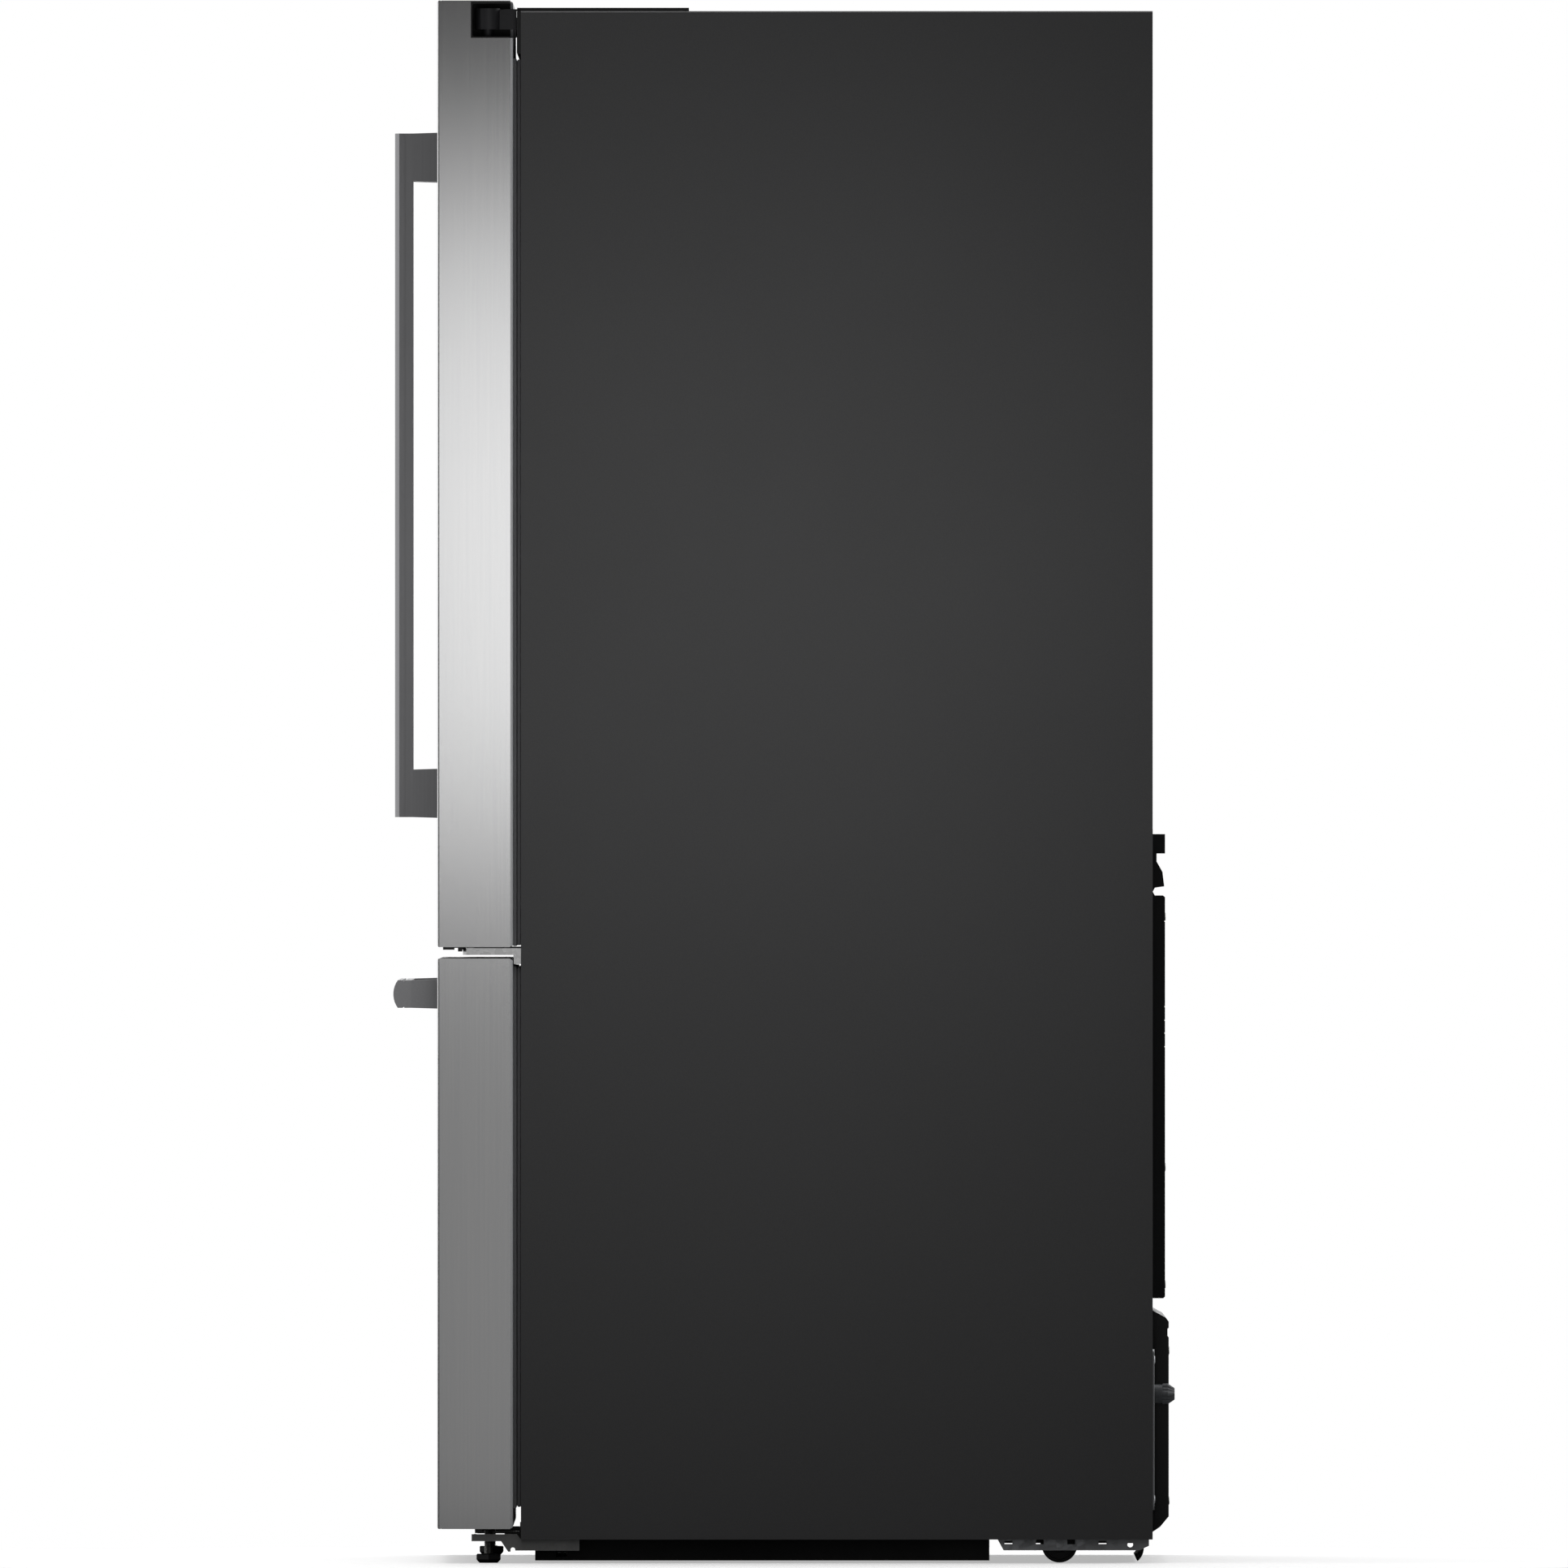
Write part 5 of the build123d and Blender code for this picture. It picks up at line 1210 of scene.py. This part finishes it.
    def _front_clips(self) -> None:
        """The small black clips low on the cabinet's front flanges."""
        low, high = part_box("cabinet_wrap")
        form = bmesh.new()
        for sign in SIDES.values():
            x = sign * (high.x - 8 * MM)
            pillow(
                form,
                Facing.Y,
                (x - self.clip_half_width, x + self.clip_half_width),
                (low.z + 9 * MM, low.z + 20 * MM),
                (low.y - self.clip_depth, low.y + 0.1 * MM),
                1.5 * MM,
                0.3 * MM,
            )
        self.shop.add("front_clips", form, "cabinet", "black_plastic", self.shop.finishes.black_plastic)


@dataclass
class MachineSpace:
    """The compressor, condenser, fan and pan behind the lower rear cover."""

    shop: Workshop
    pipe_radius: float = 3.2 * MM

    def build(self) -> None:
        """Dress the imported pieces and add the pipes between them."""
        paint = self.shop.finishes
        self.shop.dress(paint.enamel, "compressor")
        self.shop.dress(paint.fin_metal, "condenser_coil", "evaporator_coil")
        self.shop.dress(paint.black_plastic, "condenser_fan", "fan_shroud", "drain_pan", "evaporator_fan")
        self._pipes()

    def _pipes(self) -> None:
        """The suction and delivery pipes from the compressor's shell."""
        low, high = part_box("compressor")
        middle = (low + high) / 2
        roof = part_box("machine_cover")[1].z - 20 * MM
        for label, offset in (("suction", -28 * MM), ("delivery", 24 * MM)):
            start = Vector((middle.x + offset, middle.y - 30 * MM, high.z - 12 * MM))
            route = [
                start,
                start + Vector((0, 0, 22 * MM)),
                Vector((start.x + 8 * MM, start.y, roof - 8 * MM)),
                Vector((start.x + 40 * MM, start.y - 6 * MM, roof)),
                Vector((-60 * MM, start.y - 8 * MM, roof)),
            ]
            pipe = tube(f"{label}_pipe", route, self.pipe_radius)
            self.shop.own(pipe, "cabinet", "coil_metal", self.shop.finishes.copper)


# ======================================================================
# Compartments
# ======================================================================


@dataclass
class FreshFood:
    """The upper compartment: liner, duct, shelves, console and crispers."""

    shop: Workshop
    pane_edge: float = 1.2 * MM
    trim_height: float = 9 * MM
    lamp_width: float = 14 * MM
    lamp_length: float = 420 * MM
    lamp_drop: float = 140 * MM
    lamp_inset: float = 62 * MM
    strip_inset: float = 34 * MM
    strip_depth: float = 24 * MM
    key_count: int = 6
    key_pitch: float = 26 * MM
    key_radius: float = 3.6 * MM
    rail_height: float = 34 * MM
    grip_margin: float = 90 * MM

    def build(self) -> None:
        """Make and dress the pieces of the compartment."""
        paint = self.shop.finishes
        self.shop.dress(paint.liner, "fresh_food_liner", "air_duct_covers")
        self.shop.dress(paint.liner, "shelf_rims", "crisper_frame", "ceiling_console")
        self.shop.dress(paint.zinc, "shelf_brackets")
        self._panes()
        self._shelf_trims()
        self._lamps()
        self._controls()
        for side in SIDES:
            self._crisper(side)

    def _panes(self) -> None:
        """Glass shelves with ground edges."""
        form = bmesh.new()
        for low, high in self.shop.solids("shelf_panes"):
            pillow(
                form, Facing.Z, (low.x, high.x), (low.y, high.y), (low.z, high.z), 4 * MM, self.pane_edge
            )
        self.shop.add(
            "shelf_glass_panes", form, "cabinet", "shelf_glass", self.shop.finishes.glass, ["shelf_panes"]
        )

    def _shelf_trims(self) -> None:
        """A metal strip along the front of each shelf rim and of the crisper frame."""
        form = bmesh.new()
        boxes = self.shop.solids("shelf_rims")
        frame_low, frame_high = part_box("crisper_frame")
        boxes.append((Vector((frame_low.x, frame_low.y, frame_high.z - 10 * MM)), frame_high))
        for low, high in boxes:
            middle = (low.z + high.z) / 2
            pillow(
                form,
                Facing.Y,
                (low.x + 3 * MM, high.x - 3 * MM),
                (middle - self.trim_height / 2, middle + self.trim_height / 2),
                (low.y - 1.4 * MM, low.y + 0.2 * MM),
                1.5 * MM,
                0.6 * MM,
            )
        self.shop.add("shelf_trims", form, "cabinet", "stainless", self.shop.finishes.trim_metal)

    def _lamps(self) -> None:
        """Upright light lenses in both side walls and the lens in the ceiling console."""
        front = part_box("fresh_food_liner")[0].y + self.lamp_inset
        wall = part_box("crisper_frame")[1].x + 1 * MM
        console_low, console_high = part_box("ceiling_console")
        form = bmesh.new()
        top = console_low.z - self.lamp_drop
        for sign in SIDES.values():
            pillow(
                form,
                Facing.X,
                (front, front + self.lamp_width),
                (top - self.lamp_length, top),
                (sign * (wall - 1.6 * MM), sign * (wall + 0.2 * MM)),
                self.lamp_width / 2,
                0.8 * MM,
            )
        pillow(
            form,
            Facing.Z,
            (console_low.x + 24 * MM, console_high.x - 24 * MM),
            (console_high.y - 62 * MM, console_high.y - 22 * MM),
            (console_low.z - 1.8 * MM, console_low.z + 0.2 * MM),
            8 * MM,
            0.9 * MM,
        )
        self.shop.add("lamp_lenses", form, "cabinet", "clear_plastic", self.shop.finishes.lamp)

    def _controls(self) -> None:
        """The dark touch strip under the console, with a row of plain round keys."""
        low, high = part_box("ceiling_console")
        strip = bmesh.new()
        front = low.y + self.strip_inset
        pillow(
            strip,
            Facing.Z,
            (low.x + 18 * MM, high.x - 18 * MM),
            (front, front + self.strip_depth),
            (low.z - 0.8 * MM, low.z + 0.2 * MM),
            5 * MM,
            0.4 * MM,
        )
        self.shop.add("control_strip", strip, "cabinet", "black_plastic", self.shop.finishes.black_gloss)
        keys = bmesh.new()
        for key in range(self.key_count):
            x = (key - (self.key_count - 1) / 2) * self.key_pitch
            turned(
                keys,
                Facing.Z,
                (x, front + self.strip_depth / 2),
                (
                    (self.key_radius, low.z - 0.7 * MM),
                    (self.key_radius, low.z - 1.1 * MM),
                    (self.key_radius - 0.6 * MM, low.z - 1.4 * MM),
                ),
                20,
            )
        self.shop.add("control_keys", keys, "cabinet", "grey_plastic", self.shop.finishes.grey_plastic)

    def _crisper(self, side: str) -> None:
        """One clear crisper drawer with a white front rail and its grip."""
        low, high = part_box(f"crisper_{side}")
        form = bmesh.new()
        tub(form, (low.x, high.x), (low.y, high.y), (low.z, high.z), 12 * MM, 2.6 * MM, 6 * MM, 3 * MM)
        body = f"crisper_{side}"
        self.shop.add(
            f"crisper_{side}_tub", form, body, "clear_plastic", self.shop.finishes.clear_plastic, [body]
        )
        rail = bmesh.new()
        top = high.z - 1 * MM
        pillow(
            rail,
            Facing.Y,
            (low.x + 8 * MM, high.x - 8 * MM),
            (top - self.rail_height, top),
            (low.y - 2.2 * MM, low.y + 1.6 * MM),
            8 * MM,
            1.2 * MM,
        )
        pillow(
            rail,
            Facing.Y,
            (low.x + self.grip_margin, high.x - self.grip_margin),
            (top - 30 * MM, top - 18 * MM),
            (low.y - 6.5 * MM, low.y - 1.5 * MM),
            5 * MM,
            2.2 * MM,
        )
        self.shop.add(f"crisper_{side}_rail", rail, body, "white_liner", self.shop.finishes.liner)


@dataclass
class Freezer:
    """The lower compartment: liner, slides, tray and their fittings."""

    shop: Workshop
    tray_wall: float = 2.8 * MM
    tray_lip: float = 4 * MM
    tray_inset: float = 20 * MM
    ledge_margin: float = 16 * MM
    ledge_drop: float = 5.7 * MM
    ledge_thickness: float = 3 * MM
    grip_half_width: float = 90 * MM

    def build(self) -> None:
        """Make and dress the pieces of the compartment."""
        paint = self.shop.finishes
        self.shop.dress(paint.liner, "freezer_liner")
        self.shop.dress(paint.zinc, "freezer_rails", "slide_middles")
        self._tray()

    def _tray(self) -> None:
        """The shallow sliding tray, with the two ledges that carry it."""
        low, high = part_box("freezer_tray")
        lip = self.tray_lip
        form = bmesh.new()
        inner = (low.x + self.tray_inset, high.x - self.tray_inset)
        tub(form, inner, (low.y, high.y), (low.z, high.z), 14 * MM, self.tray_wall, 8 * MM, lip)
        ledge_z = high.z - self.ledge_drop
        for sign in SIDES.values():
            pillow(
                form,
                Facing.Z,
                (sign * (inner[1] - lip - 1 * MM), sign * high.x),
                (low.y + self.ledge_margin, high.y - self.ledge_margin),
                (ledge_z, ledge_z + self.ledge_thickness),
                4 * MM,
                0.8 * MM,
            )
        pillow(
            form,
            Facing.Y,
            (-self.grip_half_width, self.grip_half_width),
            (high.z - 26 * MM, high.z - 12 * MM),
            (low.y - 4 * MM, low.y + lip),
            6 * MM,
            2 * MM,
        )
        self.shop.add(
            "freezer_tray_tub", form, "upper_tray", "white_liner", self.shop.finishes.liner, ["freezer_tray"]
        )


# ======================================================================
# Doors and drawer
# ======================================================================

GASKET_SECTION = (
    (0.7, 0.0),
    (0.0, 0.4),
    (0.0, 3.3),
    (0.5, 3.8),
    (2.4, 4.0),
    (3.0, 4.4),
    (2.4, 4.8),
    (1.4, 5.1),
    (1.0, 5.5),
    (1.0, 8.0),
    (1.5, 8.5),
)


def gasket(shop: Workshop, node: str, body: str) -> None:
    """Make one door gasket: a foot, a thin fold and the soft magnet tube, mitred at its corners.

    Args:
        shop: the workshop.
        node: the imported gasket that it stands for.
        body: the body that it rides on.
    """
    low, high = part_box(node)
    width = 20 * MM
    outer = [(inset * MM, low.y + depth * MM) for inset, depth in GASKET_SECTION]
    inner = [(width - inset, y) for inset, y in reversed(outer)]
    form = bmesh.new()
    framed(form, (low.x, high.x), (low.z, high.z), outer + inner)
    shop.add(f"{node}_bellows", form, body, "gasket_rubber", shop.finishes.rubber, [node], 25.0)


@dataclass
class Door:
    """One upper door with everything that swings with it."""

    shop: Workshop
    side: str
    trim_height: float = 15 * MM
    trim_drop: float = 16 * MM
    trim_margin: float = 20 * MM
    badge_drop: float = 93 * MM
    badge_half_width: float = 34 * MM
    badge_height: float = 13 * MM

    def build(self) -> None:
        """Make and dress the door's pieces."""
        paint, prefix = self.shop.finishes, f"door_{self.side}"
        self.shop.dress(paint.door_steel, f"{prefix}_shell")
        self.shop.dress(paint.foam, f"{prefix}_core")
        self.shop.dress(paint.liner, f"{prefix}_liner")
        self.shop.dress(paint.black_plastic, f"{prefix}_end_caps")
        self.shop.dress(paint.handle_upright, f"{prefix}_handle")
        gasket(self.shop, f"{prefix}_gasket", prefix)
        self._bins(prefix)
        if self.side == "left":
            self._badge(prefix)

    def _bins(self, prefix: str) -> None:
        """Three clear bins, each with a metal strip along its front."""
        tubs, strips = bmesh.new(), bmesh.new()
        for low, high in self.shop.solids(f"{prefix}_bins"):
            tub(tubs, (low.x, high.x), (low.y, high.y), (low.z, high.z), 18 * MM, 2.6 * MM, 5 * MM, 2.4 * MM)
            middle = high.z - self.trim_drop
            pillow(
                strips,
                Facing.Y,
                (low.x + self.trim_margin, high.x - self.trim_margin),
                (middle - self.trim_height / 2, middle + self.trim_height / 2),
                (high.y - 3.4 * MM, high.y + 0.6 * MM),
                2 * MM,
                0.7 * MM,
            )
        finishes = self.shop.finishes
        self.shop.add(
            f"{prefix}_bin_tubs", tubs, prefix, "clear_plastic", finishes.clear_plastic, [f"{prefix}_bins"]
        )
        self.shop.add(f"{prefix}_bin_strips", strips, prefix, "stainless", finishes.trim_metal)

    def _badge(self, prefix: str) -> None:
        """A blank metal plate near the top of the door."""
        low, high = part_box(f"{prefix}_shell")
        centre, level = (low.x + high.x) / 2, high.z - self.badge_drop
        form = bmesh.new()
        pillow(
            form,
            Facing.Y,
            (centre - self.badge_half_width, centre + self.badge_half_width),
            (level, level + self.badge_height),
            (low.y - 1 * MM, low.y + 0.2 * MM),
            2 * MM,
            0.4 * MM,
        )
        self.shop.add("badge_plate", form, prefix, "stainless", self.shop.finishes.trim_metal)


@dataclass
class Drawer:
    """The freezer drawer's front and all that slides out with it."""

    shop: Workshop
    body: str = "freezer_drawer"
    basket_wall: float = 2.8 * MM
    basket_lip: float = 4 * MM
    basket_inset: float = 6 * MM
    flange_margin: float = 16 * MM
    flange_thickness: float = 3 * MM
    divider_margin: float = 18 * MM
    divider_drop: float = 60 * MM
    divider_half: float = 1.6 * MM

    def build(self) -> None:
        """Make and dress the drawer's pieces."""
        paint = self.shop.finishes
        self.shop.dress(paint.door_steel, "drawer_shell")
        self.shop.dress(paint.foam, "drawer_core")
        self.shop.dress(paint.liner, "drawer_liner")
        self.shop.dress(paint.handle_level, "drawer_handle")
        self.shop.dress(paint.zinc, "drawer_brackets")
        gasket(self.shop, "drawer_gasket", self.body)
        self._basket()

    def _basket(self) -> None:
        """The deep clear basket with a divider, and the flanges that hang it on the arms."""
        low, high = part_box("drawer_basket")
        lip = self.basket_lip
        form = bmesh.new()
        inner = (low.x + self.basket_inset, high.x - self.basket_inset)
        tub(form, inner, (low.y, high.y), (low.z, high.z), 14 * MM, self.basket_wall, 10 * MM, lip)
        for sign in SIDES.values():
            pillow(
                form,
                Facing.Z,
                (sign * (inner[1] - lip), sign * high.x),
                (low.y + self.flange_margin, high.y - self.flange_margin),
                (high.z - self.flange_thickness, high.z),
                3 * MM,
                0.8 * MM,
            )
        floor = low.z + self.basket_wall
        pillow(
            form,
            Facing.X,
            (low.y + self.divider_margin, high.y - self.divider_margin),
            (floor, high.z - self.divider_drop),
            (-self.divider_half, self.divider_half),
            20 * MM,
            0.8 * MM,
        )
        clear = self.shop.finishes.clear_plastic
        self.shop.add("drawer_basket_tub", form, self.body, "clear_plastic", clear, ["drawer_basket"])


# ======================================================================
# Feet and rollers
# ======================================================================


@dataclass
class RunningGear:
    """The threaded feet at the front and the rollers at the back."""

    shop: Workshop
    pitch: float = 1.5 * MM
    thread_depth: float = 0.55 * MM
    thread_steps: int = 8
    pad_height: float = 10.2 * MM
    stem_radius: float = 4.95 * MM
    axle_bore: float = 4.1 * MM
    ribs: int = 5
    groove: float = 0.5 * MM

    def build(self) -> None:
        """Make both feet and both rollers."""
        for side in SIDES:
            self._foot(side)
            self._roller(side)

    def _foot(self, side: str) -> None:
        """A levelling foot: hexagonal pad and a stem with a real helical thread."""
        low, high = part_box(f"foot_{side}")
        centre = ((low.x + high.x) / 2, (low.y + high.y) / 2)
        across, pad_top, stem = (high.y - low.y) / 2, self.pad_height, self.stem_radius
        pad = bmesh.new()
        six = hexagon(across)
        turned(
            pad,
            Facing.Z,
            centre,
            (
                (lambda angle: six(angle) - 4 * MM, low.z),
                (lambda angle: six(angle) - 1.2 * MM, low.z + 2.4 * MM),
                (six, low.z + 4 * MM),
                (six, pad_top - 1 * MM),
                (lambda angle: six(angle) - 1 * MM, pad_top),
                (stem + 2.5 * MM, pad_top),
                (stem + 1 * MM, pad_top + 0.8 * MM),
            ),
            72,
        )
        node = f"foot_{side}"
        finishes = self.shop.finishes
        self.shop.add(f"foot_{side}_pad", pad, node, "black_plastic", finishes.black_plastic, [node])
        screw = bmesh.new()
        steps, rings = self.thread_steps, []
        count = int((high.z - pad_top) / self.pitch * steps)
        for index in range(count):
            z = pad_top + index * self.pitch / steps

            def thread(angle: float, turn: float = index / steps) -> float:
                """The radius of the stem at an angle and a turn of the thread."""
                phase = (angle / (2 * math.pi) + turn) % 1.0
                return stem - self.thread_depth * abs(2 * phase - 1)

            rings.append(round_ring(Facing.Z, centre, z, thread, 24))
        rings.append(round_ring(Facing.Z, centre, high.z, stem - self.thread_depth, 24))
        loft(screw, rings)
        self.shop.add(f"foot_{side}_thread", screw, node, "hinge_metal", finishes.plated, (), 60.0)

    def _roller(self, side: str) -> None:
        """A rear roller with a ribbed tyre and a dished face round its bore."""
        low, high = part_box(f"roller_{side}")
        centre = ((low.y + high.y) / 2, (low.z + high.z) / 2)
        radius, bore = (high.z - low.z) / 2, self.axle_bore
        form = bmesh.new()
        ribs, groove = self.ribs, self.groove
        profile: list[tuple[Radius, float]] = [
            (bore, low.x + 1 * MM),
            (bore + 4 * MM, low.x + 1 * MM),
            (bore + 4.6 * MM, low.x + 3 * MM),
            (radius - 4 * MM, low.x + 3 * MM),
            (radius - 3.4 * MM, low.x),
            (radius - 1.2 * MM, low.x),
        ]
        span = high.x - low.x - 3 * MM
        for rib in range(ribs):
            start = low.x + 1.5 * MM + rib * span / ribs
            profile += [
                (radius, start),
                (radius, start + 0.72 * span / ribs),
                (radius - groove, start + 0.8 * span / ribs),
                (radius - groove, start + 0.94 * span / ribs),
            ]
        profile += [
            (radius - 1.2 * MM, high.x),
            (radius - 3.4 * MM, high.x),
            (radius - 4 * MM, high.x - 3 * MM),
            (bore + 4.6 * MM, high.x - 3 * MM),
            (bore + 4 * MM, high.x - 1 * MM),
            (bore, high.x - 1 * MM),
        ]
        rings = [round_ring(Facing.X, centre, w, reach, 48) for reach, w in profile]
        loft(form, rings, closed=True)
        body = f"roller_{side}"
        black = self.shop.finishes.black_plastic
        self.shop.add(f"roller_{side}_wheel", form, body, "black_plastic", black, [body])


# ======================================================================
# Studio
# ======================================================================


@dataclass
class Studio:
    """Camera, lights, floor and background."""

    view_height: float = 0.8865
    view_side: float = 1.784
    lens: float = 1600.0
    sensor: float = 36.0
    floor_radius: float = 1.25
    floor_glow: float = 0.45
    floor_thickness: float = 12 * MM
    floor_return: Colour = (70, 70, 70)
    ambient: Range = (0.07, 0.8)
    ambient_ramp: Range = (-0.3, 0.2)
    energy_per_radiance: float = 4.0
    wall_side: float = 1.5
    wall_centre: float = -0.06
    wall_width: float = 0.95
    wall_bands: tuple[tuple[float, float, float], ...] = (
        # lower level, upper level, radiance of each band of the softly graded side wall
        (-0.15, 0.72, 0.21),
        (0.72, 0.8, 0.38),
        (0.8, 0.9, 0.73),
        (0.9, 1.42, 1.02),
        (1.42, 1.5, 0.84),
        (1.5, 1.58, 0.6),
        (1.58, 1.66, 0.26),
        (1.66, 1.72, 0.05),
    )
    cards: dict[str, tuple] = field(
        default_factory=lambda: {
            # name: (centre, target, width, height, radiance)
            "left_key": ((-2.5, -0.05, 1.18), (-0.45, -0.05, 1.18), 1.5, 0.9, 1.0),
            "front_card": ((0.9, -3.4, 1.5), (0.0, -0.4, 1.0), 1.6, 2.2, 1.2),
            "back_card": ((-0.9, 3.2, 1.6), (0.0, 0.4, 0.9), 1.8, 1.8, 1.6),
            "roof_card": ((0.0, -0.4, 3.6), (0.0, 0.0, 1.7), 2.6, 2.6, 1.1),
        }
    )

    def build(self) -> None:
        """Set up the whole studio."""
        self._camera()
        self._floor()
        self._world()
        for name, card in self.cards.items():
            self._card(name, *card)
        for index, (low, high, radiance) in enumerate(self.wall_bands):
            centre = (self.wall_side, self.wall_centre, (low + high) / 2)
            target = (0.0, self.wall_centre, (low + high) / 2)
            self._card(f"side_wall_{index}", centre, target, self.wall_width, high - low, radiance)
        bpy.context.scene.view_settings.view_transform = "Standard"

    def _camera(self) -> None:
        """A long lens square to the cabinet's right side."""
        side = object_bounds()[1].x
        camera = bpy.data.cameras.new("camera")
        camera.lens, camera.sensor_width = self.lens, self.sensor
        distance = self.view_side * self.lens / self.sensor
        camera.clip_end = 2 * distance
        holder = bpy.data.objects.new("camera", camera)
        bpy.context.scene.collection.objects.link(holder)
        holder.location = (side + distance, 0.0, self.view_height)
        holder.rotation_euler = (math.pi / 2, 0.0, math.pi / 2)
        bpy.context.scene.camera = holder

    def _floor(self) -> None:
        """A pale round floor, just larger than the refrigerator."""
        form = bmesh.new()
        thickness = self.floor_thickness
        turned(
            form,
            Facing.Z,
            (0.0, 0.0),
            (
                (self.floor_radius - 4 * MM, -thickness),
                (self.floor_radius, -thickness + 4 * MM),
                (self.floor_radius, -4 * MM),
                (self.floor_radius - 4 * MM, -0.2 * MM),
            ),
            96,
        )
        mesh = bpy.data.meshes.new("floor")
        form.to_mesh(mesh)
        form.free()
        floor = bpy.data.objects.new("floor", mesh)
        bpy.context.scene.collection.objects.link(floor)
        mesh.materials.append(self._floor_finish())
        floor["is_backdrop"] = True

    def _floor_finish(self) -> bpy.types.Material:
        """White to look at, and grey in what it throws back onto the refrigerator.

        Returns:
            The floor's material.
        """
        material, wiring = _start("studio_floor")
        seen = wiring.node("LightPath")
        grain = wiring.effect(Effect.GRAIN, Scale=40.0)
        white = wiring.blend(grain.outputs["Mask"], linear((240, 240, 240)), linear((244, 244, 244)))
        colour = wiring.blend(seen.outputs["Is Camera Ray"], linear(self.floor_return), white)
        glow = wiring.blend(seen.outputs["Is Camera Ray"], linear((0, 0, 0)), linear((255, 255, 255)))
        shader = wiring.node(
            "BsdfPrincipled",
            None,
            Base_Color=colour,
            Roughness=0.7,
            Emission_Color=glow,
            Emission_Strength=self.floor_glow,
        )
        _finish(wiring, shader.outputs[0])
        return material

    def _world(self) -> None:
        """White behind the refrigerator, and light all round it that is dim only on the right."""
        world = bpy.data.worlds.new("studio")
        bpy.context.scene.world = world
        world.use_nodes = True
        wiring = Wiring(world.node_tree)
        seen = wiring.node("LightPath")
        place = wiring.node("TexCoord")
        way = wiring.node("SeparateXYZ", None, Vector=place.outputs["Generated"])
        dim, bright = self.ambient
        left, right = self.ambient_ramp
        share = wiring.node(
            "MapRange", None, Value=way.outputs[0], From_Min=left, From_Max=right, To_Min=bright, To_Max=dim
        )
        light = wiring.node("Background", None, Color=(1, 1, 1, 1), Strength=share.outputs[0])
        white = wiring.node("Background", None, Color=(1, 1, 1, 1), Strength=1.0)
        mix = wiring.node(
            "MixShader", None, Fac=seen.outputs["Is Camera Ray"], in1=light.outputs[0], in2=white.outputs[0]
        )
        wiring.node("OutputWorld", None, Surface=mix.outputs[0])

    def _card(
        self,
        name: str,
        centre: tuple[float, float, float],
        target: tuple[float, float, float],
        width: float,
        height: float,
        radiance: float,
    ) -> None:
        """One soft light panel, seen in reflections but not by the camera.

        Args:
            name: the light's name.
            centre: where its middle is.
            target: the point that it faces.
            width: size across.
            height: size up.
            radiance: how bright its face is.
        """
        light = bpy.data.lights.new(name, "AREA")
        light.shape = "RECTANGLE"
        light.size, light.size_y = width, height
        light.energy = radiance * width * height * self.energy_per_radiance
        panel = bpy.data.objects.new(name, light)
        bpy.context.scene.collection.objects.link(panel)
        panel.location = centre
        panel.rotation_mode = "QUATERNION"
        panel.rotation_quaternion = (Vector(target) - Vector(centre)).to_track_quat("-Z", "Y")
        panel.visible_camera = False


# ======================================================================
# The refrigerator
# ======================================================================


def clear_startup() -> None:
    """Remove whatever the session opened with."""
    for thing in list(bpy.data.objects):
        bpy.data.objects.remove(thing)


def corners(box: tuple[Vector, Vector]) -> list[list[float]]:
    """A box as plain lists of numbers."""
    return [list(corner) for corner in box]


def main() -> None:
    """Load the frame, set up the studio and build every sub-assembly in order."""
    logging.basicConfig(level=logging.INFO, format="%(name)s: %(message)s")
    clear_startup()
    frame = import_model()
    Studio().build()
    shop = Workshop(frame, Finishes.make())
    assemblies = [Cabinet(shop), MachineSpace(shop), FreshFood(shop), Freezer(shop)]
    assemblies += [Door(shop, side) for side in SIDES]
    assemblies += [Drawer(shop), RunningGear(shop)]
    for assembly in assemblies:
        assembly.build()
    shop.dress(shop.finishes.grey_plastic, "mullion_flap")


if __name__ == "__main__":
    main()
